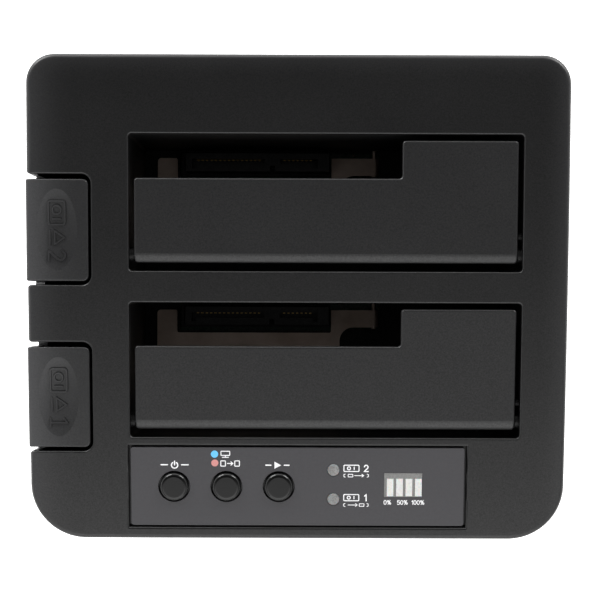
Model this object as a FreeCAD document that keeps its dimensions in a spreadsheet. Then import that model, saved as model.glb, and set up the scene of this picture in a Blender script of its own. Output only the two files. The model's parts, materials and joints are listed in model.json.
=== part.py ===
"""Drive duplicator: a two-bay dock that takes two bare drives upright and copies one to the other.

Frame: +Z up, +X to the right seen from the front, +Y to the back. The origin is at the middle of the
footprint, on the face the feet rest on. Millimetres.
"""
import FreeCAD
import Part
import math
import os
import Sketcher

V = FreeCAD.Vector
doc = FreeCAD.newDocument("drive_duplicator")
sheet = doc.addObject("Spreadsheet::Sheet", "Dims")

SIZES = [
    # the case
    ("body_width", 143.3), ("body_length", 128.9), ("case_bottom", 2.0), ("split_height", 13.2),
    ("wall", 2.5), ("corner_rear", 7.5), ("corner_front", 14.8), ("edge_round", 1.3),
    ("top_radius", 1162.2), ("top_arc_y", 135.06), ("top_arc_z", -1085.5),
    ("lip_gap", 0.15), ("lip_thick", 1.2), ("lip_top", 15.0), ("floor_edge_round", 1.6),
    # the two wells
    ("slot_left", -44.75), ("slot_right", 59.35), ("slot_length", 36.0), ("slot_front_two", 7.6),
    ("slot_front_one", -36.8), ("slot_corner", 1.0), ("frame_set_back", 0.1), ("frame_wall", 1.6),
    ("frame_under", 2.8), ("floor_bottom", 14.4), ("floor_top", 16.0),
    # the flaps
    ("flap_left", -43.4), ("flap_right", 58.05), ("flap_rear_gap", 1.55), ("cutout_depth", 11.5),
    ("cutout_right", 27.4), ("flap_thick", 2.2), ("flap_sunk", 0.2), ("hinge_back", 4.3),
    ("hinge_down", 3.9), ("barrel_radius", 2.0), ("rod_radius", 0.8), ("rod_fit", 0.02), ("rod_running", 0.05),
    ("lip_front", 2.15), ("lip_back", -0.35), ("lip_drop", 1.0), ("flap_round", 0.6), ("seat_round", 0.6),
    # the ejector
    ("plate_top", 17.4), ("plate_thick", 1.2), ("plate_left", -41.2), ("plate_body_right", 12.15),
    ("plate_ear_end", 22.2), ("plate_front", 8.6), ("plate_rear", 33.85), ("plate_ear_front", 28.8),
    ("plate_window_left", -35.4), ("plate_window_right", 9.65), ("plate_window_front", 27.2),
    ("plate_pin_z", 16.1), ("plate_barrel", 1.3), ("plate_pin_radius", 0.65),
    ("rocker_x", -51.0), ("rocker_z", 14.7), ("rocker_half", 1.1), ("rocker_left_reach", 11.0),
    ("rocker_right_reach", 11.2), ("rocker_width", 5.0), ("rocker_hub", 2.0), ("rocker_pin_radius", 0.8),
    # the eject buttons
    ("notch_inner", -54.75), ("notch_depth", 17.7), ("notch_two_front", 3.8), ("notch_two_rear", 33.0),
    ("notch_one_front", -40.6), ("notch_one_rear", -11.4), ("notch_corner", 2.6), ("mouth_round", 1.1), ("mouth_back", 0.55), ("rim_round", 0.5), ("split_round", 0.3),
    ("cap_left", -71.9), ("cap_right", -55.4), ("cap_end_gap", 1.1), ("cap_skirt", 13.3),
    ("cap_thick", 2.5), ("cap_corner", 1.5), ("stem_x", -62.0), ("stem_half", 2.0),
    ("eject_travel", 4.0), ("spring_mean", 3.7), ("spring_wire", 0.35), ("spring_height", 13.2),
    # the boards and connectors
    ("board_bottom", 9.4), ("board_thick", 1.6), ("connector_top", 24.1), ("connector_left", -33.0),
    ("connector_right", 9.2), ("connector_front", 29.6), ("connector_rear", 35.15),
    ("power_slot_left", -30.8), ("power_slot_right", -9.8), ("signal_slot_left", -5.3),
    ("signal_slot_right", 5.6), ("key_slot", 1.5), ("contact_pitch", 1.27),
    # the control panel, measured along its own slope
    ("panel_y", -50.25), ("panel_tilt", 9.18), ("panel_left", -44.75), ("panel_right", 44.85),
    ("panel_half", 10.8), ("panel_sunk", 0.25), ("panel_thick", 1.5), ("panel_gap", 0.45),
    ("panel_hole_left", -38.0), ("panel_hole_right", 38.0), ("panel_hole_half", 9.6),
    ("button_one_x", -33.1), ("button_pitch", 14.05), ("button_radius", 3.87), ("button_hole", 4.3),
    ("button_up", 0.95), ("button_travel", 0.5), ("led_x", 9.7), ("led_upper", 4.6), ("led_lower", -3.45),
    ("led_radius", 1.7), ("window_left", 23.3), ("window_right", 33.6), ("window_low", -2.8),
    ("window_high", 3.9), ("bar_width", 1.9), ("bar_pitch", 2.53), ("bar_first", 24.95),
    ("bar_low", -2.6), ("bar_high", 2.35), ("panel_board_top", -8.4),
    # fasteners and feet
    ("case_screw_radius", 1.4), ("bay_screw_radius", 1.2), ("screw_rear_x", 60.0), ("screw_rear_y", 54.0),
    ("screw_front_x", 58.0), ("screw_front_y", -52.0), ("foot_x", 51.0), ("foot_y", 43.5),
    ("foot_radius", 5.5), ("foot_height", 2.6),
    ("leg_left_x", -38.5), ("leg_right_x", 50.0), ("leg_low_y", 5.9), ("leg_high_y", 31.5),
    # the back
    ("data_port_x", 20.0), ("data_port_half", 6.05), ("data_port_top", 22.0),
    ("jack_x", -20.0), ("jack_half", 4.5), ("jack_top", 22.0), ("port_gap", 0.35),
]
for row, (alias, value) in enumerate(SIZES, 1):
    sheet.set("A%d" % row, alias.replace("_", " "))
    sheet.set("B%d" % row, "%.6g" % value)
    sheet.setAlias("B%d" % row, alias)
doc.recompute()


class Q:
    """A size: its value, and the expression that ties it to the sheet."""

    def __init__(self, v, s):
        self.v, self.s = float(v), s

    def __add__(self, o):
        o = q(o)
        return Q(self.v + o.v, "(%s + %s)" % (self.s, o.s))

    def __radd__(self, o):
        return q(o) + self

    def __sub__(self, o):
        o = q(o)
        return Q(self.v - o.v, "(%s - %s)" % (self.s, o.s))

    def __rsub__(self, o):
        return q(o) - self

    def __mul__(self, o):
        o = q(o)
        return Q(self.v * o.v, "(%s * %s)" % (self.s, o.s))

    def __rmul__(self, o):
        return q(o) * self

    def __truediv__(self, o):
        o = q(o)
        return Q(self.v / o.v, "(%s / %s)" % (self.s, o.s))

    def __neg__(self):
        return q(0) - self


def q(x):
    return x if isinstance(x, Q) else Q(x, "(%.9g)" % x)


def root(a):
    return Q(math.sqrt(a.v), "sqrt(%s)" % a.s)


class Sizes:
    def __getattr__(self, name):
        return Q(getattr(sheet, name), "Dims." + name)


D = Sizes()


def top_z(y, down=0):
    """Height of the crowned top at y, or of the surface lying `down` below it."""
    y, down = q(y), q(down)
    r = D.top_radius - down
    d = y - D.top_arc_y
    return D.top_arc_z + root(r * r - d * d)


# ---------------------------------------------------------------- helpers
count = {}
made = []


def tag(b, what):
    key = (b.Name, what)
    count[key] = count.get(key, 0) + 1
    return "%s_%s%d" % (b.Label, what, count[key])


def body(label):
    b = doc.addObject("PartDesign::Body", label)
    b.Label = label
    if hasattr(b, "AllowCompound"):
        b.AllowCompound = True
    made.append(b)
    return b


def plane(b, role):
    return [o for o in b.Origin.OriginFeatures if o.Role == role + "_Plane"][0]


def sketch(b, role="XY", off=0, shift=None, turn=None):
    """A sketch on one of the body's own planes, `off` along the plane's normal."""
    s = b.newObject("Sketcher::SketchObject", tag(b, "sketch"))
    s.AttachmentSupport = [(plane(b, role), "")]
    s.MapMode = "FlatFace"
    off = q(off)
    sh = [q(v) for v in (shift or (0, 0))]
    rot = FreeCAD.Rotation(V(1, 0, 0), turn.v) if turn is not None else FreeCAD.Rotation()
    s.AttachmentOffset = FreeCAD.Placement(V(sh[0].v, sh[1].v, off.v), rot)
    s.setExpression(".AttachmentOffset.Base.x", sh[0].s)
    s.setExpression(".AttachmentOffset.Base.y", sh[1].s)
    s.setExpression(".AttachmentOffset.Base.z", off.s)
    return s


def bind(s, kind, *args):
    *where, size = args
    size = q(size)
    c = s.addConstraint(Sketcher.Constraint(kind, *where, size.v))
    s.setExpression("Constraints[%d]" % c, size.s)


def poly(s, pts, arcs=None):
    """A closed outline. arcs maps the index of a side to the centre of its circle (x, y, radius)."""
    pts = [(q(x), q(y)) for x, y in pts]
    arcs = arcs or {}
    n = len(pts)
    base = s.GeometryCount
    for i in range(n):
        (x0, y0), (x1, y1) = pts[i], pts[(i + 1) % n]
        if i in arcs:
            cx, cy, r = [q(v) for v in arcs[i]]
            a0 = math.atan2(y0.v - cy.v, x0.v - cx.v)
            a1 = math.atan2(y1.v - cy.v, x1.v - cx.v)
            flip = (a1 - a0) % (2 * math.pi) > math.pi
            if flip:
                a0, a1 = a1, a0
            s.addGeometry(Part.ArcOfCircle(Part.Circle(V(cx.v, cy.v, 0), V(0, 0, 1), r.v), a0, a1), False)
            arcs[i] = (cx, cy, r, flip)
        else:
            s.addGeometry(Part.LineSegment(V(x0.v, y0.v, 0), V(x1.v, y1.v, 0)), False)

    def end(i, last):
        if i in arcs and arcs[i][3]:
            return 1 if last else 2
        return 2 if last else 1

    for i in range(n):
        s.addConstraint(Sketcher.Constraint("Coincident", base + i, end(i, True), base + (i + 1) % n, end((i + 1) % n, False)))
    for i in range(n):
        x, y = pts[i]
        bind(s, "DistanceX", -1, 1, base + i, end(i, False), x)
        bind(s, "DistanceY", -1, 1, base + i, end(i, False), y)
    for i in arcs:
        bind(s, "Radius", base + i, arcs[i][2])
    return s


def rect(s, x0, y0, x1, y1):
    return poly(s, [(x0, y0), (x1, y0), (x1, y1), (x0, y1)])


def circle(s, x, y, r):
    x, y, r = q(x), q(y), q(r)
    i = s.addGeometry(Part.Circle(V(x.v, y.v, 0), V(0, 0, 1), r.v), False)
    bind(s, "Radius", i, r)
    bind(s, "DistanceX", -1, 1, i, 3, x)
    bind(s, "DistanceY", -1, 1, i, 3, y)
    return s


def volume(b):
    return b.Shape.Volume if b.Tip is not None and not b.Shape.isNull() else 0.0


def feature(b, kind, s, length, rev=False, mid=False, through=False):
    length = q(length)
    before = volume(b)
    f = b.newObject("PartDesign::" + kind, tag(b, kind.lower()))
    f.Profile = s
    if through:
        f.Type = "ThroughAll"
    else:
        f.Length = length.v
        f.setExpression("Length", length.s)
    f.Reversed = rev
    f.Midplane = mid
    doc.recompute()
    s.Visibility = False
    after = volume(b)
    if kind == "Pad" and not after > before + 1e-4 or kind == "Pocket" and not after < before - 1e-4:
        raise RuntimeError("%s changed nothing: %s %.3f %.3f" % (f.Name, f.State, before, after))
    return f


def pad(b, s, length, **k):
    return feature(b, "Pad", s, length, **k)


def pocket(b, s, length=1, **k):
    return feature(b, "Pocket", s, length, **k)


def add_box(b, x0, x1, y0, y1, z0, z1):
    return pad(b, rect(sketch(b, "XY", z0), x0, y0, x1, y1), q(z1) - z0)


def cut_box(b, x0, x1, y0, y1, z0, z1):
    return pocket(b, rect(sketch(b, "XY", z1), x0, y0, x1, y1), q(z1) - z0)


def add_rod(b, axis, c, r, t0, t1):
    """A cylinder along X, Y or Z through c (its two other coordinates, in order) from t0 to t1."""
    t0, t1 = q(t0), q(t1)
    if axis == "Z":
        return pad(b, circle(sketch(b, "XY", t0), c[0], c[1], r), t1 - t0)
    if axis == "X":
        return pad(b, circle(sketch(b, "YZ", t0), c[0], c[1], r), t1 - t0)
    return pad(b, circle(sketch(b, "XZ", -t1), c[0], c[1], r), t1 - t0)


def cut_rod(b, axis, c, r, t0, t1):
    t0, t1 = q(t0), q(t1)
    if axis == "Z":
        return pocket(b, circle(sketch(b, "XY", t1), c[0], c[1], r), t1 - t0)
    if axis == "X":
        return pocket(b, circle(sketch(b, "YZ", t1), c[0], c[1], r), t1 - t0)
    return pocket(b, circle(sketch(b, "XZ", -t0), c[0], c[1], r), t1 - t0)


def edges(b, keep):
    shape = b.Tip.Shape
    return ["Edge%d" % (i + 1) for i, e in enumerate(shape.Edges) if keep(e)]


def round_off(b, r, keep, kind="Fillet"):
    names = edges(b, keep)
    if not names:
        raise RuntimeError("no edges for a fillet on " + b.Label)
    f = b.newObject("PartDesign::" + kind, tag(b, kind.lower()))
    f.Base = (tips[b.Name], names)
    r = q(r)
    if kind == "Fillet":
        f.Radius = r.v
        f.setExpression("Radius", r.s)
    else:
        f.Size = r.v
        f.setExpression("Size", r.s)
    doc.recompute()
    if "Invalid" in f.State or not b.Shape.isValid():
        raise RuntimeError("%s failed on %s: %s" % (kind, b.Label, f.State))
    return f


tips = {}


def fillet(b, r, keep, kind="Fillet"):
    tips[b.Name] = b.Tip
    return round_off(b, r, keep, kind)


def near(a, v, tol=1e-3):
    return abs(a - v) < tol


def vertical(e):
    bb = e.BoundBox
    return bb.XLength < 1e-4 and bb.YLength < 1e-4 and bb.ZLength > 0.1


def at(e, x, y, tol=0.02):
    bb = e.BoundBox
    return near(bb.Center.x, x, tol) and near(bb.Center.y, y, tol)


def pattern(b, features, role, length, n):
    """Repeats features n times over length along one of the body's axes."""
    length = q(length)
    f = b.newObject("PartDesign::LinearPattern", tag(b, "pattern"))
    f.Originals = features
    axis = [o for o in b.Origin.OriginFeatures if o.Role == role + "_Axis"][0]
    f.Direction = (axis, [""])
    f.Length = length.v
    f.setExpression("Length", length.s)
    f.Occurrences = n
    b.Tip = f
    doc.recompute()
    return f


half_w = D.body_width / 2
half_l = D.body_length / 2

# ---------------------------------------------------------------- the case
top = body("top_cover")
s = sketch(top, "YZ")
poly(s, [(-half_l, D.split_height), (half_l, D.split_height), (half_l, top_z(half_l)), (-half_l, top_z(-half_l))],
     {2: (D.top_arc_y, D.top_arc_z, D.top_radius)})
pad(top, s, D.body_width, mid=True)
fillet(top, D.corner_rear, lambda e: vertical(e) and e.BoundBox.YMin > 0)
fillet(top, D.corner_front, lambda e: vertical(e) and e.BoundBox.YMin < 0 and abs(e.BoundBox.XMin) > half_w.v - 0.1)
shell_base = top.Tip
t = top.newObject("PartDesign::Thickness", "top_cover_shell")
t.Base = (shell_base, ["Face%d" % (i + 1) for i, f in enumerate(shell_base.Shape.Faces) if f.BoundBox.ZLength < 1e-6])
t.Value = D.wall.v
t.setExpression("Value", D.wall.s)
t.Reversed = True
t.Join = 0
doc.recompute()


fillet(top, D.split_round, lambda e: near(e.BoundBox.ZMin, D.split_height.v) and near(e.BoundBox.ZMax, D.split_height.v)
       and (abs(e.BoundBox.Center.x) > half_w.v - 6 or abs(e.BoundBox.Center.y) > half_l.v - 6)
       and (max(abs(e.BoundBox.XMin), abs(e.BoundBox.XMax)) > half_w.v - 0.01 or max(abs(e.BoundBox.YMin), abs(e.BoundBox.YMax)) > half_l.v - 0.01))


def outer_rim(e):
    bb = e.BoundBox
    if bb.ZMin < D.split_height.v + 1:
        return False
    c = [v.Point for v in e.Vertexes]
    if len(c) < 2 or abs(c[0].x - c[1].x) + abs(c[0].y - c[1].y) < 1e-3:
        return False
    # on the crowned top itself
    return all(abs(p.z - top_z(p.y).v) < 1e-3 for p in c)


fillet(top, D.edge_round, outer_rim)
# bosses for the case screws, blind from below
for sx, bx, by, up in ((-1, D.screw_rear_x, D.screw_rear_y, 1.2), (1, D.screw_rear_x, D.screw_rear_y, 1.2),
                       (-1, D.screw_front_x, D.screw_front_y, 1.2), (1, D.screw_front_x, D.screw_front_y, 1.2)):
    add_rod(top, "Z", (bx * sx, by), 3.5, D.split_height + 0.2, top_z(by - 3.5, up))
    cut_rod(top, "Z", (bx * sx, by), D.case_screw_radius + 0.03, D.split_height - 1, 27)
# the two slots
for front in (D.slot_front_two, D.slot_front_one):
    pocket(top, rect(sketch(top, "XY", 90), D.slot_left, front, D.slot_right, front + D.slot_length), 40)
sl, sr = D.slot_left.v, D.slot_right.v
ys = [D.slot_front_two.v, D.slot_front_two.v + D.slot_length.v, D.slot_front_one.v, D.slot_front_one.v + D.slot_length.v]
fillet(top, D.slot_corner, lambda e: vertical(e) and any(at(e, x, y) for x in (sl, sr) for y in ys))
# the two notches for the eject buttons, from the top down the left side
for y0, y1 in ((D.notch_two_front, D.notch_two_rear), (D.notch_one_front, D.notch_one_rear)):
    low = top_z((y0 + y1) / 2) - D.notch_depth
    s = sketch(top, "YZ", D.notch_inner)
    rect(s, y0, low, y1, 90)
    pocket(top, s, 30)
ny = [D.notch_two_front.v, D.notch_two_rear.v, D.notch_one_front.v, D.notch_one_rear.v]
fillet(top, D.notch_corner, lambda e: vertical(e) and any(at(e, D.notch_inner.v, y) for y in ny))


def notch_foot(e):
    bb = e.BoundBox
    return bb.XLength > 2 and bb.YLength < 1e-4 and bb.ZLength < 1e-4 and bb.XMin < -71 and 40 < bb.ZMin < 58 and any(near(bb.YMin, y) for y in ny)


fillet(top, 1.2, notch_foot)
# the mouths, opened out round each corner in plan
ma, mb = D.mouth_round, D.mouth_back
for i, yn in enumerate((D.notch_two_front, D.notch_two_rear, D.notch_one_front, D.notch_one_rear)):
    out = -1 if i % 2 == 0 else 1
    low = top_z((D.notch_two_front + D.notch_two_rear) / 2 if i < 2 else (D.notch_one_front + D.notch_one_rear) / 2) - D.notch_depth
    s = sketch(top, "XY", low)
    r = (ma * ma + mb * mb) / (mb * 2)
    cx, cy = -half_w + ma, yn + mb * out
    poly(s, [(-half_w - 1, yn), (cx, yn), (-half_w, cy), (-half_w - 1, cy)], {1: (cx, yn + r * out, r)})
    pocket(top, s, 30, rev=True)


def on_top(e):
    vs = [v.Point for v in e.Vertexes]
    return len(vs) > 1 and all(abs(pt.z - top_z(pt.y).v) < 0.004 for pt in vs)


def slot_rim(e):
    c = e.BoundBox
    return on_top(e) and c.XMin > sl - 0.01 and c.XMax < sr + 0.01 and any(c.YMin > y - 0.01 and c.YMax < y + D.slot_length.v + 0.01 for y in (ys[0], ys[2]))


fillet(top, D.rim_round, slot_rim)
fillet(top, D.rim_round, lambda e: on_top(e) and near(e.BoundBox.XMin, D.notch_inner.v, 0.01) and near(e.BoundBox.XMax, D.notch_inner.v, 0.01) and e.BoundBox.YLength > 10)
# the panel's seat and the window through it, square to the slope
panel_z = top_z(D.panel_y)
tilt = D.panel_tilt


def slope_sketch(b, w):
    """A sketch lying `w` above the top, along the panel's slope."""
    s = b.newObject("Sketcher::SketchObject", tag(b, "sketch"))
    s.AttachmentSupport = [(plane(b, "XY"), "")]
    s.MapMode = "FlatFace"
    w = q(w)
    a = math.radians(tilt.v)
    s.AttachmentOffset = FreeCAD.Placement(V(0, D.panel_y.v - w.v * math.sin(a), panel_z.v + w.v * math.cos(a)),
                                           FreeCAD.Rotation(V(1, 0, 0), tilt.v))
    s.setExpression(".AttachmentOffset.Base.y", "%s - %s * sin(%s * 1deg)" % (D.panel_y.s, w.s, tilt.s))
    s.setExpression(".AttachmentOffset.Base.z", "%s + %s * cos(%s * 1deg)" % (panel_z.s, w.s, tilt.s))
    s.setExpression(".AttachmentOffset.Rotation.Angle", tilt.s)
    return s


g = D.panel_gap
s = slope_sketch(top, 3)
rect(s, D.panel_left - g, -D.panel_half - g, D.panel_right + g, D.panel_half + g)
pocket(top, s, D.panel_sunk + D.panel_thick + 3.05)
fillet(top, D.seat_round, lambda e: on_top(e) and -62.5 < e.BoundBox.YMin and e.BoundBox.YMax < -38 and e.BoundBox.XMin > D.panel_left.v - 1 and e.BoundBox.XMax < D.panel_right.v + 1)
s = slope_sketch(top, 0)
rect(s, D.panel_hole_left, -D.panel_hole_half, D.panel_hole_right, D.panel_hole_half)
pocket(top, s, 8)
# bosses that carry the small board under the panel
for bx in (-41.2, 41.2):
    s = slope_sketch(top, D.panel_board_top)
    circle(s, bx, 0, 2.4)
    pad(top, s, -D.panel_board_top - D.panel_sunk - D.panel_thick - 0.6)
    s = slope_sketch(top, -4.2)
    circle(s, bx, 0, 1.05)
    pocket(top, s, 5)
# openings in the back for the data port, the power jack and air
zlow = D.split_height - 1
s = sketch(top, "XZ", -half_l + 4)
rect(s, D.data_port_x - D.data_port_half - D.port_gap, zlow, D.data_port_x + D.data_port_half + D.port_gap, D.data_port_top + D.port_gap)
pocket(top, s, 6)
s = sketch(top, "XZ", -half_l + 4)
rect(s, D.jack_x - D.jack_half - D.port_gap, zlow, D.jack_x + D.jack_half + D.port_gap, D.jack_top + D.port_gap)
pocket(top, s, 6)
s = sketch(top, "XZ", -half_l + 4)
rect(s, -12.0, 34, -10.0, 52)
vent = pocket(top, s, 6)
pattern(top, [vent], "X", 44, 12)

base = body("base_tray")
outline = [(-half_w, -half_l), (half_w, -half_l), (half_w, half_l), (-half_w, half_l)]
pad(base, poly(sketch(base, "XY", D.case_bottom), outline), D.split_height - D.case_bottom)
fillet(base, D.corner_rear, lambda e: vertical(e) and e.BoundBox.YMin > 0)
fillet(base, D.corner_front, lambda e: vertical(e) and e.BoundBox.YMin < 0 and abs(e.BoundBox.XMin) > half_w.v - 0.1)
fillet(base, D.floor_edge_round, lambda e: near(e.BoundBox.ZMax, D.case_bottom.v))
fillet(base, D.split_round, lambda e: near(e.BoundBox.ZMin, D.split_height.v))


def inset(b, z, d, length, cut):
    """The case's outline drawn in by d, with its corners, padded or cut."""
    s = sketch(b, "XY", z)
    x, y = half_w - d, half_l - d
    rr, rf = D.corner_rear - d, D.corner_front - d
    pts = [(-x + rf, -y), (x - rf, -y), (x, -y + rf), (x, y - rr), (x - rr, y), (-x + rr, y), (-x, y - rr), (-x, -y + rf)]
    arcs = {1: (x - rf, -y + rf, rf), 3: (x - rr, y - rr, rr), 5: (-x + rr, y - rr, rr), 7: (-x + rf, -y + rf, rf)}
    poly(s, pts, arcs)
    return s


floor_in = D.case_bottom + D.wall
pocket(base, inset(base, D.split_height, D.wall, 1, True), D.split_height - floor_in)
# the lip that stands inside the cover
s = inset(base, floor_in - 0.5, D.wall + D.lip_gap, 1, False)
pad(base, s, D.lip_top - floor_in + 0.5)
s = inset(base, D.lip_top, D.wall + D.lip_gap + D.lip_thick, 1, True)
pocket(base, s, D.lip_top - floor_in)
# posts for the case screws, standoffs for the board
corners = [(-D.screw_rear_x, D.screw_rear_y), (D.screw_rear_x, D.screw_rear_y),
           (-D.screw_front_x, D.screw_front_y), (D.screw_front_x, D.screw_front_y)]
s = sketch(base, "XY", floor_in - 0.5)
for x, y in corners:
    circle(s, x, y, 3.6)
pad(base, s, D.split_height + 0.1 - floor_in + 0.5)
legs = [(x, f + y) for f in (D.slot_front_two, D.slot_front_one) for x in (D.leg_left_x, D.leg_right_x) for y in (D.leg_low_y, D.leg_high_y)]
board_holes = [(-30.0, 55.5), (40.0, 55.5), (-30.0, -44.5), (40.0, -44.5)]
s = sketch(base, "XY", floor_in - 0.5)
for x, y in legs + board_holes:
    circle(s, x, y, 2.9)
pad(base, s, D.board_bottom - floor_in + 0.5)
s = sketch(base, "XY", D.split_height + 1)
for x, y in corners:
    circle(s, x, y, D.case_screw_radius + 0.2)
pocket(base, s, 14)
s = sketch(base, "XY", D.case_bottom - 1)
for x, y in corners:
    circle(s, x, y, 3.0)
pocket(base, s, 3.2, rev=True)
s = sketch(base, "XY", D.board_bottom + 1)
for x, y in legs + board_holes:
    circle(s, x, y, D.bay_screw_radius + 0.03)
pocket(base, s, 5.4)
# seats for the feet
s = sketch(base, "XY", D.case_bottom - 1)
for sx in (-1, 1):
    for sy in (-1, 1):
        circle(s, D.foot_x * sx, D.foot_y * sy, D.foot_radius + 0.15)
pocket(base, s, 1.6, rev=True)
# air slots in the floor
s = sketch(base, "XY", floor_in + 1)
rect(s, -22.0, -10.0, -20.0, 14.0)
vent = pocket(base, s, 5)
pattern(base, [vent], "X", 40, 11)
# the ports' openings
s = sketch(base, "XZ", -half_l + 6)
rect(s, D.data_port_x - D.data_port_half - D.port_gap, D.board_bottom + D.board_thick - 0.3, D.data_port_x + D.data_port_half + D.port_gap, 30)
pocket(base, s, 8)
s = sketch(base, "XZ", -half_l + 6)
rect(s, D.jack_x - D.jack_half - D.port_gap, D.board_bottom + D.board_thick - 0.3, D.jack_x + D.jack_half + D.port_gap, 30)
pocket(base, s, 8)

feet = body("rubber_feet")
s = sketch(feet, "XY", 0)
for sx in (-1, 1):
    for sy in (-1, 1):
        circle(s, D.foot_x * sx, D.foot_y * sy, D.foot_radius)
pad(feet, s, D.foot_height)
fillet(feet, 0.5, lambda e: near(e.BoundBox.ZMax, 0))


def screws(label, places, r, head_r, head_h, z_seat, length, up, drive=0.5):
    """Screws along Z. `up` is the way their shanks run from the seat under the head."""
    b = body(label)
    s = sketch(b, "XY", z_seat)
    for x, y in places:
        circle(s, x, y, head_r)
    pad(b, s, head_h, rev=up)
    fillet(b, head_h * 0.4, lambda e: near(e.BoundBox.ZMin, (q(z_seat) - head_h).v if up else (q(z_seat) + head_h).v) and e.BoundBox.ZLength < 1e-4)
    s = sketch(b, "XY", z_seat)
    for x, y in places:
        circle(s, x, y, r)
    pad(b, s, length, rev=not up)
    face = q(z_seat) - head_h if up else q(z_seat) + head_h
    for wx, wy in ((0.35, head_r * 0.55), (head_r * 0.55, 0.35)):
        s = sketch(b, "XY", face)
        for x, y in places:
            rect(s, q(x) - wx, q(y) - wy, q(x) + wx, q(y) + wy)
        pocket(b, s, head_h * 0.55, rev=up)
    return b


screws("case_screws", corners, D.case_screw_radius, 2.7, 1.5, 4.2, 21.0, True)
board_top = D.board_bottom + D.board_thick
screws("bay_screws", legs, D.bay_screw_radius, 2.3, 1.3, 14.5, 9.2, False)
screws("board_screws", board_holes, D.bay_screw_radius, 2.4, 1.3, board_top, 5.8, False)

# ---------------------------------------------------------------- the main board
board = body("main_board")
s = sketch(board, "XY", D.board_bottom)
poly(s, [(-54.0, -50.0), (55.5, -50.0), (55.5, 60.0), (-54.0, 60.0)])
pad(board, s, D.board_thick)
s = sketch(board, "XY", board_top + 1)
for x, y in legs + board_holes:
    circle(s, x, y, D.bay_screw_radius + 0.35)
pocket(board, s, 4)
# room for the front posts
fillet(board, 1.5, lambda e: vertical(e) and abs(e.BoundBox.XMin) > 53 and abs(e.BoundBox.YMin) > 49)


def chips(label, boxes, z0=None, r=0.12):
    b = body(label)
    z0 = board_top + 0.0 if z0 is None else z0
    for x0, x1, y0, y1, h in boxes:
        add_box(b, x0, x1, y0, y1, z0, z0 + h)
    fillet(b, r, lambda e: e.BoundBox.ZLength < 1e-4 and e.BoundBox.ZMin > q(z0).v + 0.3, "Chamfer")
    return b


chips("controller_chip", [(20.0, 34.0, 12.0, 26.0, 1.4)])
chips("bridge_chip", [(20.0, 32.0, -30.0, -18.0, 1.2), (14.0, 20.0, -47.0, -41.5, 1.1)])
chips("board_coils", [(-8.0, -1.0, 49.5, 56.5, 4.2), (3.0, 9.0, 50.0, 56.0, 3.4)], r=0.4)
caps = body("board_capacitors")
s = sketch(caps, "XY", board_top)
for x, y in ((-38.0, 53.0), (-46.0, 53.0), (31.5, 53.0)):
    circle(s, x, y, 3.15)
pad(caps, s, 7.7)
fillet(caps, 0.5, lambda e: e.BoundBox.ZLength < 1e-4 and e.BoundBox.ZMin > 15)
small = body("board_small_parts")
s = sketch(small, "XY", board_top)
for x, y in ((38, 14), (38, 18), (38, 22), (16, 30), (24, 30), (36, -28), (36, -24), (36, -20), (16, -26), (-12, 22), (-18, 22),
             (-24, 22), (-12, -20), (-18, -20), (-24, -20), (44, 54), (48, 54), (-12, 54)):
    rect(s, x - 1.0, y - 0.6, x + 1.0, y + 0.6)
pad(small, s, 0.8)

# ---------------------------------------------------------------- ports
port = body("data_port")
px, ph = D.data_port_x, D.data_port_half
zt = D.data_port_top
s = sketch(port, "XZ", -half_l - 0.4)
poly(s, [(px - ph, board_top), (px + ph, board_top), (px + ph, zt - 1.9), (px + ph - 1.9, zt), (px - ph + 1.9, zt), (px - ph, zt - 1.9)])
pad(port, s, 17.6)
s = sketch(port, "XZ", -half_l - 0.4)
w = 0.5
poly(s, [(px - ph + w, board_top + w), (px + ph - w, board_top + w), (px + ph - w, zt - 1.9 - w * 0.4), (px + ph - 1.9 - w * 0.4, zt - w),
         (px - ph + 1.9 + w * 0.4, zt - w), (px - ph + w, zt - 1.9 - w * 0.4)])
pocket(port, s, 15.0, rev=True)
core = body("data_port_tongue")
yb0 = half_l + 0.4 - 14.9
add_box(core, px - 2.9, px + 2.9, yb0, half_l - 1.0, board_top + 3.4, board_top + 6.9)
fillet(core, 0.4, lambda e: near(e.BoundBox.YMax, (half_l - 1.0).v) and e.BoundBox.YLength < 1e-4)

jack = body("power_jack")
jx, jh, jt = D.jack_x, D.jack_half, D.jack_top
add_box(jack, jx - jh, jx + jh, half_l + 0.3 - 14.0, half_l + 0.3, board_top, jt)
cut_rod(jack, "Y", (jx, board_top + 5.9), 3.0, half_l + 0.3 - 10.5, half_l + 0.3)
fillet(jack, 0.5, lambda e: near(e.BoundBox.ZMin, jt.v) and near(e.BoundBox.ZMax, jt.v) and e.BoundBox.XLength < 1e-4)
jpin = body("power_jack_pin")
add_rod(jpin, "Y", (jx, board_top + 5.9), 1.05, half_l + 0.3 - 10.5, half_l - 1.2)
fillet(jpin, 0.4, lambda e: near(e.BoundBox.YMin, (half_l - 1.2).v) and e.BoundBox.YLength < 1e-4)


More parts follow.
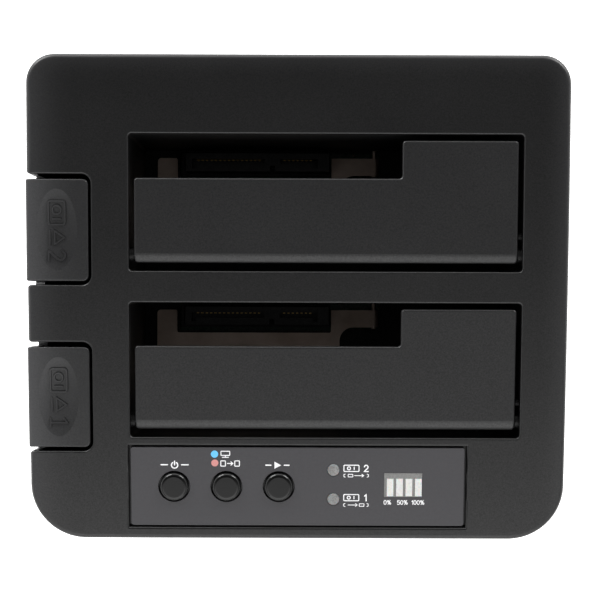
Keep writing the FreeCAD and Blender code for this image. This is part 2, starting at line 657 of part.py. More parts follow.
# ---------------------------------------------------------------- one bay, made twice
def bay(n, front, cap_front, cap_rear):
    rear = front + D.slot_length
    yc = (cap_front + cap_rear) / 2
    set_back, fw = D.frame_set_back, D.frame_wall
    xl, xr = D.slot_left - set_back, D.slot_right + set_back
    yf, yr = front - set_back, rear + set_back
    hinge_y = front + D.hinge_back
    hinge_z = top_z(hinge_y) - D.hinge_down
    underside = top_z(cap_front) - D.cap_thick - 0.6
    spring_top = top_z(yc) - 7.5
    shelf_top = spring_top - D.spring_height - 0.8

    # the well
    f = body("bay_frame_%d" % n)
    r = D.top_radius - D.frame_under
    s = sketch(f, "YZ", xl - fw)
    poly(s, [(yf - fw, D.floor_bottom), (yr + fw, D.floor_bottom), (yr + fw, top_z(yr + fw, D.frame_under)), (yf - fw, top_z(yf - fw, D.frame_under))],
         {2: (D.top_arc_y, D.top_arc_z, r)})
    pad(f, s, xr - xl + fw * 2)
    fillet(f, 1.4, vertical)
    pocket(f, rect(sketch(f, "XY", D.floor_top), xl, yf, xr, yr), 80, rev=True)
    fillet(f, 0.9, lambda e: vertical(e) and any(at(e, x, y) for x in (xl.v, xr.v) for y in (yf.v, yr.v)))
    # through the floor: the connector, the ear of the plate
    cut_box(f, D.plate_window_left + 0.6, D.plate_window_right + 0.9, front + D.plate_window_front + 0.5, yr + 0.01 - 0.4, D.floor_bottom - 1, D.floor_top + 1)
    cut_box(f, D.plate_window_right + 0.8, D.plate_ear_end + 1.7, front + D.plate_ear_front - 0.5, yr - 0.4, D.floor_bottom - 1, D.floor_top + 1)
    # legs down to the board
    s = sketch(f, "XY", board_top)
    mine = [(x, front + y) for x in (D.leg_left_x, D.leg_right_x) for y in (D.leg_low_y, D.leg_high_y)]
    for x, y in mine:
        circle(s, x, y, 3.3)
    pad(f, s, D.floor_bottom - board_top + 0.4)
    s = sketch(f, "XY", D.floor_top + 0.5)
    for x, y in mine:
        circle(s, x, y, 2.5)
    pocket(f, s, D.floor_top + 0.5 - 14.5)
    s = sketch(f, "XY", D.floor_top)
    for x, y in mine:
        circle(s, x, y, D.bay_screw_radius + 0.15)
    pocket(f, s, 8)
    # lug for the plate's pin, and its hole in the lug and the rear wall
    ex, ez = D.plate_ear_end, D.plate_pin_z
    add_box(f, ex - 2.3, ex + 2.3, front + D.plate_ear_front - 3.4, front + D.plate_ear_front - 0.4, D.floor_bottom, ez + 1.9)
    cut_rod(f, "Y", (ex, ez), D.plate_pin_radius + 0.02, front + D.plate_ear_front - 4, yr + fw + 1)
    # the slot for the rocker in the left wall and the floor
    cut_box(f, xl - fw - 0.5, -36.4, yc - 3.2, yc + 3.2, D.floor_bottom - 1, D.floor_top + 3.4)
    # the rocker's bearings
    for a, c in ((yc - 5.4, yc - 3.0), (yc + 3.0, yc + 5.4)):
        add_box(f, D.rocker_x - 2.7, xl - 0.8, a, c, 12.0, 19.4)
    cut_rod(f, "Y", (D.rocker_x, D.rocker_z), D.rocker_pin_radius + 0.02, yc - 6, yc + 6)
    # the shelf that guides the eject button's stem and carries its spring
    add_box(f, -66.4, xl - 0.8, yc - 6.5, yc + 6.5, shelf_top - 2.5, shelf_top)
    for a in (yc - 6.5, yc + 4.9):
        s = sketch(f, "XZ", -(a + 1.6))
        poly(s, [(xl - 0.8, shelf_top - 2.0), (xl - 0.8, shelf_top - 14), (-62.0, shelf_top - 2.0)])
        pad(f, s, 1.6)
    cut_box(f, D.stem_x - D.stem_half - 0.3, D.stem_x + D.stem_half + 0.3, yc - D.stem_half - 0.3, yc + D.stem_half + 0.3, shelf_top - 4, shelf_top + 1)
    # bearings for the hinge rod, and the stop pegs in the gap beside the flap
    cut_rod(f, "X", (hinge_y, hinge_z), D.rod_radius + D.rod_fit, xl - fw - 1, xr + fw + 1)
    for x0, x1 in ((xl - 0.01, D.flap_left - 0.25), (D.flap_right + 0.25, xr + 0.01)):
        s = sketch(f, "YZ", x0)
        circle(s, hinge_y, hinge_z, 1.9)
        circle(s, hinge_y, hinge_z, D.rod_radius + D.rod_fit)
        pad(f, s, x1 - x0)
    s = sketch(f, "YZ", xr - 1.0)
    circle(s, hinge_y + 5.1, hinge_z + 0.3, 0.9)
    pad(f, s, 1.01)

    # the flap
    p = body("slot_flap_%d" % n)
    y1, y2 = hinge_y, rear - D.flap_rear_gap
    z1, z2 = top_z(y1) - D.flap_sunk, top_z(y2) - D.flap_sunk
    k = (z2 - z1) / (y2 - y1)

    def surf(y):
        return z1 + k * (y - y1)

    br = D.barrel_radius
    s = sketch(p, "YZ", D.flap_left)
    # the lip rolls over towards the front on one arc, tangent to the flap's face
    lf, lb = hinge_y - D.lip_front, hinge_y - D.lip_back
    la, lz, lr = lb - lf, k * (lb - lf) + D.lip_drop, root(k * k + 1)
    roll = lr * (la * la + lz * lz) / (D.lip_drop * 2)
    poly(s, [(hinge_y - br, hinge_z), (hinge_y + br, hinge_z), (hinge_y + br + 0.8, surf(hinge_y + br + 0.8) - D.flap_thick),
             (y2, z2 - D.flap_thick), (y2, z2), (lb, surf(lb)), (lf, surf(lf) - D.lip_drop), (lf, hinge_z + 0.9)],
         {5: (lb + roll * k / lr, surf(lb) - roll / lr, roll)})
    pad(p, s, D.flap_right - D.flap_left)
    fx0, fx1 = D.flap_left.v, D.flap_right.v
    fillet(p, 1.0, lambda e: vertical(e) and (at(e, fx0, lf.v) or at(e, fx1, lf.v)))
    cut_box(p, D.flap_left - 1, D.cutout_right, rear - D.cutout_depth, rear + 1, hinge_z - 3, top_z(rear) + 3)
    yk = (rear - D.cutout_depth).v
    fillet(p, 0.9, lambda e: vertical(e) and (at(e, fx0, yk) or at(e, D.cutout_right.v, yk) or at(e, D.cutout_right.v, y2.v) or at(e, fx1, y2.v)))

    def flap_top(e):
        vs = [v.Point for v in e.Vertexes]
        if len(vs) < 2:
            return False
        ok = all(abs(pt.z - surf(Q(pt.y, "0")).v) < 0.02 for pt in vs)
        mid = e.BoundBox.Center
        return ok and not (e.BoundBox.XLength > 90 and mid.y < hinge_y.v + 3)

    fillet(p, D.flap_round, flap_top)
    add_rod(p, "X", (hinge_y, hinge_z), br, D.flap_left, D.flap_right)
    # a relief under the skin for the spring's coil
    cut_box(p, 43.6, 50.4, hinge_y - 2.2, hinge_y + 3.3, hinge_z - 2.2, hinge_z + 1.7)
    cut_rod(p, "X", (hinge_y, hinge_z), D.rod_radius + D.rod_running, D.flap_left - 1, D.flap_right + 1)

    rod = body("flap_rod_%d" % n)
    add_rod(rod, "X", (hinge_y, hinge_z), D.rod_radius, xl - fw + 0.2, xr + fw - 0.2)
    fillet(rod, 0.2, lambda e: e.BoundBox.XLength < 1e-4, "Chamfer")

    # the flap's spring: a coil on the rod, one leg under the flap, one on the frame
    sp = body("flap_spring_%d" % n)
    s = sketch(sp, "XY", hinge_z, shift=(0, hinge_y))
    circle(s, 44.6, 1.25, 0.25)
    h = sp.newObject("PartDesign::AdditiveHelix", "flap_spring_%d_coil" % n)
    h.Profile = s
    h.ReferenceAxis = (s, ["H_Axis"])
    h.Mode = 0
    h.Pitch = 0.62
    h.Height = 4.4
    doc.recompute()
    s.Visibility = False
    add_rod(sp, "Y", (44.6, hinge_z + 1.25), 0.25, hinge_y - 0.2, hinge_y + 8.5)
    add_rod(sp, "Y", (49.0, hinge_z - 1.25), 0.25, front + 0.3, hinge_y + 0.2)

    # the ejector plate, its pin, the rocker and its pin
    e = body("ejector_plate_%d" % n)
    pt, th = D.plate_top, D.plate_thick
    pf, pr = front + D.plate_front, front + D.plate_rear
    wl, wr, wf = D.plate_window_left, D.plate_window_right, front + D.plate_window_front
    ef = front + D.plate_ear_front
    s = sketch(e, "XY", pt - th)
    poly(s, [(D.plate_left, pf), (D.plate_body_right, pf), (D.plate_body_right, ef), (ex, ef), (ex, pr), (wr, pr), (wr, wf), (wl, wf), (wl, pr), (D.plate_left, pr)])
    pad(e, s, th)
    fillet(e, 4.0, lambda g: vertical(g) and at(g, D.plate_body_right.v, ef.v))
    fillet(e, 1.0, lambda g: vertical(g) and (at(g, D.plate_left.v, pf.v) or at(g, D.plate_body_right.v, pf.v) or at(g, D.plate_left.v, pr.v)))
    fillet(e, 0.5, lambda g: vertical(g) and (at(g, wl.v, wf.v) or at(g, wr.v, wf.v) or at(g, wl.v, pr.v)))
    add_rod(e, "Y", (ex, ez), D.plate_barrel, ef, pr)
    cut_rod(e, "Y", (ex, ez), D.plate_pin_radius + 0.05, ef - 1, pr + 1)
    pin = body("plate_pin_%d" % n)
    add_rod(pin, "Y", (ex, ez), D.plate_pin_radius, front + D.plate_ear_front - 3.2, yr + fw - 0.1)

    rk = body("eject_rocker_%d" % n)
    rx, rz, rh = D.rocker_x, D.rocker_z, D.rocker_half
    s = sketch(rk, "XZ", -(yc + D.rocker_width / 2))
    rect(s, rx - D.rocker_left_reach, rz - rh, rx + D.rocker_right_reach, rz + rh)
    pad(rk, s, D.rocker_width)
    for cx, rr in ((rx - D.rocker_left_reach, rh), (rx + D.rocker_right_reach, rh), (rx, D.rocker_hub)):
        add_rod(rk, "Y", (cx, rz), rr, yc - D.rocker_width / 2, yc + D.rocker_width / 2)
    cut_rod(rk, "Y", (rx, rz), D.rocker_pin_radius + 0.05, yc - 5, yc + 5)
    rp = body("rocker_pin_%d" % n)
    add_rod(rp, "Y", (rx, rz), D.rocker_pin_radius, yc - 5.4, yc + 5.4)

    # the eject button: a cap over the case's edge, a lip behind the wall, a stem down to the rocker
    c = body("eject_button_%d" % n)
    y0, y1 = cap_front + D.cap_end_gap - 0.1, cap_rear - D.cap_end_gap - 0.2
    zs = top_z(yc) - D.cap_skirt
    s = sketch(c, "YZ", D.cap_left)
    poly(s, [(y0, zs), (y1, zs), (y1, top_z(y1)), (y0, top_z(y0))], {2: (D.top_arc_y, D.top_arc_z, D.top_radius)})
    pad(c, s, D.cap_right - D.cap_left)
    cl, cr = D.cap_left.v, D.cap_right.v
    fillet(c, D.cap_corner, lambda g: vertical(g) and (at(g, cr, y0.v) or at(g, cr, y1.v)))
    s = sketch(c, "YZ", D.cap_left + D.cap_thick)
    poly(s, [(y0 - 2, zs - 2), (y1 + 2, zs - 2), (y1 + 2, top_z(y1 + 2, D.cap_thick)), (y0 - 2, top_z(y0 - 2, D.cap_thick))],
         {2: (D.top_arc_y, D.top_arc_z, D.top_radius - D.cap_thick)})
    pocket(c, s, 30, rev=True)

    def cap_edge(g):
        vs = [v.Point for v in g.Vertexes]
        return len(vs) > 1 and all(abs(pt_.z - top_z(Q(pt_.y, "0")).v) < 0.01 for pt_ in vs)

    fillet(c, 0.9, lambda g: cap_edge(g) and g.BoundBox.XLength < 1e-3 and near(g.BoundBox.XMin, cl))
    fillet(c, 0.45, lambda g: cap_edge(g) and not near(g.BoundBox.XMax, cl + 0.9, 0.01))
    # the thumb dish
    dish = c.newObject("PartDesign::SubtractiveEllipsoid", "eject_button_%d_dish" % n)
    slope = math.degrees(math.atan2((top_z(y1) - top_z(y0)).v, (y1 - y0).v))
    dish.Radius1 = 4.0
    dish.Radius2 = 9.8
    dish.Radius3 = 20.4
    a = math.radians(slope)
    # (the ellipsoid's own axes: Radius1 along Z, Radius2 along X, Radius3 along Y)
    dish.Placement = FreeCAD.Placement(V(-63.7, yc.v - 3.35 * math.sin(a), top_z(yc).v + 3.35 * math.cos(a)), FreeCAD.Rotation(V(1, 0, 0), slope))
    doc.recompute()
    # the lip
    add_box(c, D.cap_left + 1.0, D.cap_left + 4.55, y0 + 0.6, y1 - 0.6, zs, zs + 3.0)
    add_box(c, -68.4, D.cap_left + 4.55, y0 + 0.6, y1 - 0.6, zs - 5.0, zs + 0.5)
    # the stem, its shoulder for the spring, and its nose
    sx, sh = D.stem_x, D.stem_half
    add_rod(c, "Z", (sx, yc), 4.5, spring_top, top_z(yc) - D.cap_thick + 0.7)
    add_box(c, sx - sh, sx + sh, yc - sh, yc + sh, 21.0, spring_top + 1)
    add_box(c, sx - 0.9, sx + 0.9, yc - sh, yc + sh, 17.0, 21.5)
    add_rod(c, "Y", (sx, q(17.0)), 0.9, yc - sh, yc + sh)

    es = body("eject_spring_%d" % n)
    s = sketch(es, "XZ", -yc, shift=(sx, 0))
    circle(s, D.spring_mean, shelf_top + 0.4, D.spring_wire)
    h = es.newObject("PartDesign::AdditiveHelix", "eject_spring_%d_coil" % n)
    h.Profile = s
    h.ReferenceAxis = (s, ["V_Axis"])
    h.Mode = 0
    h.Pitch = 2.2
    h.Height = D.spring_height.v
    h.setExpression("Height", D.spring_height.s)
    doc.recompute()
    s.Visibility = False

    # the connector and its contacts
    k = body("drive_connector_%d" % n)
    kf, kr = front + D.connector_front, front + D.connector_rear
    ct = D.connector_top
    add_box(k, D.connector_left, D.connector_right, kf, kr, board_top, ct)
    add_box(k, D.connector_left - 1.2, D.connector_right, kf - 0.7, kr, board_top, board_top + 2.5)
    mid = (kf + kr) / 2
    for a, bb, foot in ((D.power_slot_left, D.power_slot_right, "l"), (D.signal_slot_left, D.signal_slot_right, "r")):
        s = sketch(k, "XY", ct)
        hw = D.key_slot / 2
        if foot == "l":
            poly(s, [(a, mid - hw - 1.1), (a + 1.3, mid - hw - 1.1), (a + 1.3, mid - hw), (bb, mid - hw), (bb, mid + hw), (a, mid + hw)])
        else:
            poly(s, [(a, mid - hw), (bb - 1.3, mid - hw), (bb - 1.3, mid - hw - 1.1), (bb, mid - hw - 1.1), (bb, mid + hw), (a, mid + hw)])
        pocket(k, s, 6.2)
    # the notch between the two keys, and the guides at the ends
    cut_box(k, D.power_slot_right + 1.5, D.signal_slot_left - 1.5, kf - 1, kf + 1.6, board_top + 4, ct + 1)
    fillet(k, 0.35, lambda g: near(g.BoundBox.ZMin, ct.v) and near(g.BoundBox.ZMax, ct.v)
           and (near(g.BoundBox.YMin, kr.v) and near(g.BoundBox.YMax, kr.v) or g.BoundBox.XLength < 1e-3 and (near(g.BoundBox.XMin, D.connector_left.v) or near(g.BoundBox.XMin, D.connector_right.v))), "Chamfer")
    kc = body("drive_contacts_%d" % n)
    a = add_box(kc, D.power_slot_left + 1.36, D.power_slot_left + 1.96, mid + hw - 0.28, mid + hw - 0.03, ct - 6.1, ct - 2.9)
    pattern(kc, [a], "X", D.contact_pitch * 14, 15)
    a = add_box(kc, D.signal_slot_left + 0.94, D.signal_slot_left + 1.54, mid + hw - 0.28, mid + hw - 0.03, ct - 6.1, ct - 2.9)
    pattern(kc, [a], "X", D.contact_pitch * 6, 7)


bay(2, D.slot_front_two, D.notch_two_front, D.notch_two_rear)
bay(1, D.slot_front_one, D.notch_one_front, D.notch_one_rear)

# ---------------------------------------------------------------- the control panel, drawn flat and laid on the slope
slope_names = []


def on_slope(b):
    """Lays a body drawn with Z square to the panel onto the case."""
    b.Placement = FreeCAD.Placement(V(0, D.panel_y.v, panel_z.v), FreeCAD.Rotation(V(1, 0, 0), tilt.v))
    b.setExpression(".Placement.Base.y", D.panel_y.s)
    b.setExpression(".Placement.Base.z", panel_z.s)
    b.setExpression(".Placement.Rotation.Angle", tilt.s)
    slope_names.append(b.Label)


plate = body("control_panel")
ptop = -D.panel_sunk
pbot = ptop - D.panel_thick
bx = [D.button_one_x + D.button_pitch * i for i in range(3)]
add_box(plate, D.panel_left, D.panel_right, -D.panel_half, D.panel_half, pbot, ptop)
fillet(plate, 0.8, vertical)
fillet(plate, 0.2, lambda e: near(e.BoundBox.ZMin, ptop.v) and near(e.BoundBox.ZMax, ptop.v))
s = sketch(plate, "XY", 1)
for x in bx:
    circle(s, x, 0, D.button_hole)
for y in (D.led_upper, D.led_lower):
    circle(s, D.led_x, y, D.led_radius + 0.05)
rect(s, D.window_left, D.window_low, D.window_right, D.window_high)
pocket(plate, s, 5)
on_slope(plate)

for name, x in zip(("power_button", "mode_button", "start_button"), bx):
    b = body(name)
    add_rod(b, "Z", (x, 0), D.button_radius, pbot - 1.2, D.button_up)
    add_rod(b, "Z", (x, 0), 4.6, pbot - 1.2, pbot - 0.35)
    add_rod(b, "Z", (x, 0), 1.5, -3.6, pbot - 1.0)
    fillet(b, 1.05, lambda e: near(e.BoundBox.ZMin, D.button_up.v) and near(e.BoundBox.ZMax, D.button_up.v))
    on_slope(b)

lens = body("bay_lights")
s = sketch(lens, "XY", -5.2)
for y in (D.led_upper, D.led_lower):
    circle(s, D.led_x, y, D.led_radius)
pad(lens, s, 5.2 - 0.1)
s = sketch(lens, "XY", -2.8)
for y in (D.led_upper, D.led_lower):
    circle(s, D.led_x, y, D.led_radius + 0.7)
pad(lens, s, 0.9)
fillet(lens, 0.5, lambda e: near(e.BoundBox.ZMin, -0.1) and near(e.BoundBox.ZMax, -0.1))
on_slope(lens)

win = body("progress_window")
c = 0.05
add_box(win, D.window_left + c, D.window_right - c, D.window_low + c, D.window_high - c, -2.3, ptop - 0.05)
bars = [D.bar_first + D.bar_pitch * i for i in range(4)]
s = sketch(win, "XY", 1)
for x in bars:
    rect(s, x - D.bar_width / 2, D.bar_low, x + D.bar_width / 2, D.bar_high)
pocket(win, s, 6)
on_slope(win)

guide = body("progress_bars")
s = sketch(guide, "XY", -5.4)
for x in bars:
    rect(s, x - D.bar_width / 2 + c, D.bar_low + c, x + D.bar_width / 2 - c, D.bar_high - c)
pad(guide, s, 5.4 + ptop)
add_box(guide, bars[0] - 1.6, bars[3] + 1.6, D.bar_low - 0.7, D.bar_high + 0.7, -3.4, -2.4)
on_slope(guide)

pcb = body("panel_board")
pbt = D.panel_board_top
add_box(pcb, -44.0, 44.0, -8.8, 8.8, pbt - 1.6, pbt)
s = sketch(pcb, "XY", pbt + 1)
for x in (-41.2, 41.2):
    circle(s, x, 0, 1.35)
pocket(pcb, s, 4)
fillet(pcb, 1.0, vertical)
on_slope(pcb)

ps = body("panel_board_screws")
s = sketch(ps, "XY", pbt - 1.6)
for x in (-41.2, 41.2):
    circle(s, x, 0, 2.1)
pad(ps, s, 1.2, rev=True)
s = sketch(ps, "XY", pbt - 1.6)
for x in (-41.2, 41.2):
    circle(s, x, 0, 1.0)
pad(ps, s, 5.2)
for wx, wy in ((0.3, 1.2), (1.2, 0.3)):
    s = sketch(ps, "XY", pbt - 2.8)
    for x in (-41.2, 41.2):
        rect(s, x - wx, -wy, x + wx, wy)
    pocket(ps, s, 0.7, rev=True)
on_slope(ps)

sw = body("button_switches")
s = sketch(sw, "XY", pbt)
for x in bx:
    rect(s, x - 3.0, -3.0, x + 3.0, 3.0)
pad(sw, s, 3.4)
fillet(sw, 0.3, vertical)
s = sketch(sw, "XY", pbt)
for x in bx:
    circle(s, x, 0, 1.7)
pad(sw, s, 4.0)
on_slope(sw)

leds = body("indicator_leds")
s = sketch(leds, "XY", pbt)
for y in (D.led_upper, D.led_lower):
    rect(s, D.led_x - 1.4, y - 1.0, D.led_x + 1.4, y + 1.0)
for x in bars:
    rect(s, x - 0.8, -0.9, x + 0.8, 0.7)
pad(leds, s, 1.1)
on_slope(leds)

# the ribbon between the two boards, with a plug at each end
ra = math.radians(tilt.v)
hx = 0.0
ph_top = body("panel_header")
add_box(ph_top, hx + 2.35 - 8.0, hx + 2.35 + 8.0, -2.4, 2.4, pbt - 1.6 - 4.0, pbt - 1.6)
on_slope(ph_top)
mh = body("board_header")
add_box(mh, hx + 2.35 - 8.0, hx + 2.35 + 8.0, -48.6, -43.8, board_top, board_top + 4.0)

# the ribbon's route, in the plane across its width, from the panel's plug down to the board's plug
end_y = D.panel_y.v + (pbt.v - 1.6 - 4.0) * -math.sin(ra)
end_z = panel_z.v + (pbt.v - 1.6 - 4.0) * math.cos(ra)
P0, P3 = (end_y, end_z), (-46.2, board_top.v + 4.0)
P1 = (P0[0] + 9.0 * math.sin(ra) - 0.6, P0[1] - 9.0 * math.cos(ra))
P2 = (P3[0] - 1.5, P3[1] + 10.0)


def bez(t):
    a, b_, c_, d_ = (1 - t) ** 3, 3 * t * (1 - t) ** 2, 3 * t * t * (1 - t), t ** 3
    return (a * P0[0] + b_ * P1[0] + c_ * P2[0] + d_ * P3[0], a * P0[1] + b_ * P1[1] + c_ * P2[1] + d_ * P3[1])


N = 18
mids = [bez(i / N) for i in range(N + 1)]
left, right = [], []
for i, (y, z) in enumerate(mids):
    a, b_ = mids[max(i - 1, 0)], mids[min(i + 1, N)]
    ty, tz = b_[0] - a[0], b_[1] - a[1]
    length = math.hypot(ty, tz)
    ny_, nz_ = -tz / length * 0.45, ty / length * 0.45
    left.append((y + ny_, z + nz_))
    right.append((y - ny_, z - nz_))
ribbon = body("ribbon_cable")
s = sketch(ribbon, "YZ", hx - 4.0)
poly(s, left + right[::-1])
pad(ribbon, s, 12.7)

# ---------------------------------------------------------------- checks and writing out
doc.recompute()
bad = []
for o in doc.Objects:
    if any(w in ("Invalid", "Error") for w in o.State):
        bad.append((o.Name, o.State))
for b in made:
    if b.Shape.isNull() or not b.Shape.isValid() or not b.Shape.Solids:
        bad.append((b.Label, "shape"))
if bad:
    raise RuntimeError("not sound: %s" % bad)
os.makedirs("parts", exist_ok=True)
for old in os.listdir("parts"):
    if old.endswith(".step"):
        os.remove(os.path.join("parts", old))
for b in made:
    b.Shape.exportStep("parts/%s.step" % b.Label)
print(len(made), "pieces")
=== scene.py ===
import bpy
import json
import math
from mathutils import Matrix, Vector
from mathutils.bvhtree import BVHTree


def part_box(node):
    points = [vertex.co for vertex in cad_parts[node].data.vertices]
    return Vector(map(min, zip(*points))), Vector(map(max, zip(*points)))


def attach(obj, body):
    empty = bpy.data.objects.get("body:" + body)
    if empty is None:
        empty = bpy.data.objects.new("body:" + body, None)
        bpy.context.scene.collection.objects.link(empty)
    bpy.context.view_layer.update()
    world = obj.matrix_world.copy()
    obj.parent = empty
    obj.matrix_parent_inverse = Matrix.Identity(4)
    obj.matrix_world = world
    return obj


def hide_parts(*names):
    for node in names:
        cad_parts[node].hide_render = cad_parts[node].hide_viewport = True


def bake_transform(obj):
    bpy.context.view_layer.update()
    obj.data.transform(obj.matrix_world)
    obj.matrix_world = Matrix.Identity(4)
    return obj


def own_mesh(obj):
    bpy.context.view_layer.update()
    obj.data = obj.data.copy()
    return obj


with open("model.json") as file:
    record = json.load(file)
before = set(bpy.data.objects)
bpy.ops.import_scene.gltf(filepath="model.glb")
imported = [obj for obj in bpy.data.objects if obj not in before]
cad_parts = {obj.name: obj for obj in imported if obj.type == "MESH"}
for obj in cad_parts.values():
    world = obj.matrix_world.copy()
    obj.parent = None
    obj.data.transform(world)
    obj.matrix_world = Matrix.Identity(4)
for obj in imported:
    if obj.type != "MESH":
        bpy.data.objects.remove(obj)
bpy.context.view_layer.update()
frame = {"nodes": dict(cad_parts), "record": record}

# The look of the drive duplicator: finishes for every part, the printed and raised signs, the floor,
# the lights and the camera. Metres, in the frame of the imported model.

nodes = frame["nodes"]
scene = bpy.context.scene
MM = 0.001


# ---------------------------------------------------------------- finishes
class Tree:
    """A material being built, with its principled shader."""

    def __init__(self, name):
        self.mat = bpy.data.materials.new(name)
        self.mat.use_nodes = True
        self.t = self.mat.node_tree
        self.t.nodes.clear()
        out = self.t.nodes.new("ShaderNodeOutputMaterial")
        self.p = self.t.nodes.new("ShaderNodeBsdfPrincipled")
        self.t.links.new(self.p.outputs[0], out.inputs[0])
        self.where = self.t.nodes.new("ShaderNodeTexCoord").outputs["Object"]

    def node(self, kind, **settings):
        n = self.t.nodes.new(kind)
        for k, v in settings.items():
            setattr(n, k, v)
        return n

    def link(self, a, b):
        self.t.links.new(a, b)

    def set(self, **values):
        for k, v in values.items():
            self.p.inputs[k.replace("_", " ")].default_value = v

    def mapping(self, scale=(1, 1, 1), rotation=(0, 0, 0), location=(0, 0, 0)):
        m = self.node("ShaderNodeMapping")
        m.inputs["Scale"].default_value = scale
        m.inputs["Rotation"].default_value = rotation
        m.inputs["Location"].default_value = location
        self.link(self.where, m.inputs["Vector"])
        return m.outputs[0]

    def noise(self, scale, detail=2.0, rough=0.5, where=None, distort=0.0):
        n = self.node("ShaderNodeTexNoise")
        n.inputs["Scale"].default_value = scale
        n.inputs["Detail"].default_value = detail
        n.inputs["Roughness"].default_value = rough
        n.inputs["Distortion"].default_value = distort
        self.link(where or self.where, n.inputs["Vector"])
        return n.outputs[0]

    def ramp(self, value, low, high, out_low, out_high, smooth=False):
        n = self.node("ShaderNodeMapRange", interpolation_type="SMOOTHSTEP" if smooth else "LINEAR")
        n.inputs["From Min"].default_value = low
        n.inputs["From Max"].default_value = high
        n.inputs["To Min"].default_value = out_low
        n.inputs["To Max"].default_value = out_high
        self.link(value, n.inputs["Value"])
        return n.outputs[0]

    def math(self, op, a, b=None):
        n = self.node("ShaderNodeMath", operation=op)
        for i, x in enumerate((a, b)):
            if x is None:
                continue
            if isinstance(x, (int, float)):
                n.inputs[i].default_value = x
            else:
                self.link(x, n.inputs[i])
        return n.outputs[0]

    def mix(self, factor, a, b):
        n = self.node("ShaderNodeMix", data_type="RGBA")
        if isinstance(factor, (int, float)):
            n.inputs[0].default_value = factor
        else:
            self.link(factor, n.inputs[0])
        for i, c in ((6, a), (7, b)):
            if isinstance(c, tuple):
                n.inputs[i].default_value = (*c, 1)
            else:
                self.link(c, n.inputs[i])
        return n.outputs[2]

    def colour(self, c):
        self.link(c, self.p.inputs["Base Color"])

    def roughness(self, value, low, high):
        self.link(self.ramp(value, 0.25, 0.75, low, high), self.p.inputs["Roughness"])

    def bump(self, height, distance, strength=1.0, over=None):
        n = self.node("ShaderNodeBump")
        n.inputs["Strength"].default_value = strength
        n.inputs["Distance"].default_value = distance
        self.link(height, n.inputs["Height"])
        if over is not None:
            self.link(over, n.inputs["Normal"])
        self.link(n.outputs[0], self.p.inputs["Normal"])
        return n.outputs[0]

    def specks(self, scale, size, share, seed=0.0):
        """A few tiny grains of dust: 1 on a grain, 0 elsewhere."""
        v = self.node("ShaderNodeTexVoronoi", feature="F1")
        v.inputs["Scale"].default_value = scale
        self.link(self.mapping(location=(seed, seed * 0.7, seed * 1.3)), v.inputs["Vector"])
        c = self.node("ShaderNodeSeparateColor")
        self.link(v.outputs["Color"], c.inputs[0])
        near = self.ramp(v.outputs["Distance"], size * 0.6, size, 1, 0)
        return self.math("MULTIPLY", near, self.math("GREATER_THAN", c.outputs[0], 1 - share))


def scaled(c, k):
    return tuple(min(1.0, x * k) for x in c)


def plastic(name, base, rough=(0.4, 0.5), grain=(2600.0, 0.010), cloud=0.05, dust=0.0, ior=1.48, spec=0.5, mottle=0.25, coat=0.0, painted_sheen=None):
    """Moulded plastic: a fine spark-eroded grain, faint clouding, dust where it lies open, and optionally the top
    painted paler towards given edges, a painted sheen.
    """
    t = Tree(name)
    clouds = t.noise(38, 4, 0.6)
    fine = t.noise(grain[0], 3, 0.62)
    middle = t.noise(grain[0] * 0.55, 2, 0.5)
    tone = t.mix(t.ramp(clouds, 0.3, 0.7, 0, 1), scaled(base, 1 - cloud), scaled(base, 1 + cloud))
    tone = t.mix(t.ramp(fine, 0.38, 0.62, 0, 1), tone, scaled(base, 1 - mottle * 1.6))
    if painted_sheen:
        # painted light: the top is painted a little paler towards its outer edges, standing in for the light the real
        # top catches where it curves down at its rims
        ax = t.node("ShaderNodeSeparateXYZ")
        t.link(t.where, ax.inputs[0])
        face = t.node("ShaderNodeSeparateXYZ")
        t.link(t.node("ShaderNodeTexCoord").outputs["Normal"], face.inputs[0])
        edge_sheen = None
        for axis, edge, reach, much in painted_sheen:
            near = t.ramp(ax.outputs[axis], (edge - reach) * MM, edge * MM, 0, 1)
            near = t.math("MULTIPLY", t.math("POWER", near, 2.2), much)
            edge_sheen = near if edge_sheen is None else t.math("ADD", edge_sheen, near)
        edge_sheen = t.math("MULTIPLY", edge_sheen, t.ramp(face.outputs[2], 0.75, 0.95, 0, 1))
        tone = t.mix(edge_sheen, tone, (0.050, 0.050, 0.052))
    if dust:
        tone = t.mix(t.math("MULTIPLY", t.specks(230, 0.035, dust), 0.75), tone, (0.20, 0.195, 0.19))
    t.colour(tone)
    t.roughness(t.math("ADD", t.math("MULTIPLY", fine, 0.5), t.math("MULTIPLY", clouds, 0.5)), *rough)
    sheen = t.math("ADD", t.math("MULTIPLY", fine, 0.6), t.math("MULTIPLY", middle, 0.4))
    t.link(t.ramp(sheen, 0.36, 0.64, spec * (1 - mottle), spec * (1 + mottle)), t.p.inputs["Specular IOR Level"])
    t.bump(t.math("ADD", fine, t.math("MULTIPLY", middle, 0.8)), grain[1] * MM)
    t.set(IOR=ior)
    if coat:
        t.set(Coat_Weight=coat, Coat_Roughness=0.12)
    return t.mat


def gloss(name, base, rough=(0.1, 0.16)):
    """Polished moulding: nearly smooth, with hair scratches and a slight waviness."""
    t = Tree(name)
    wave = t.noise(160, 2, 0.5)
    hair = t.noise(900, 2, 0.5, t.mapping(scale=(0.15, 1, 1), rotation=(0, 0, 0.5)))
    t.colour(t.mix(t.ramp(wave, 0.3, 0.7, 0, 1), scaled(base, 0.9), scaled(base, 1.1)))
    t.roughness(hair, *rough)
    t.bump(t.math("ADD", wave, t.math("MULTIPLY", hair, 0.1)), 0.006 * MM)
    t.set(IOR=1.42)
    return t.mat


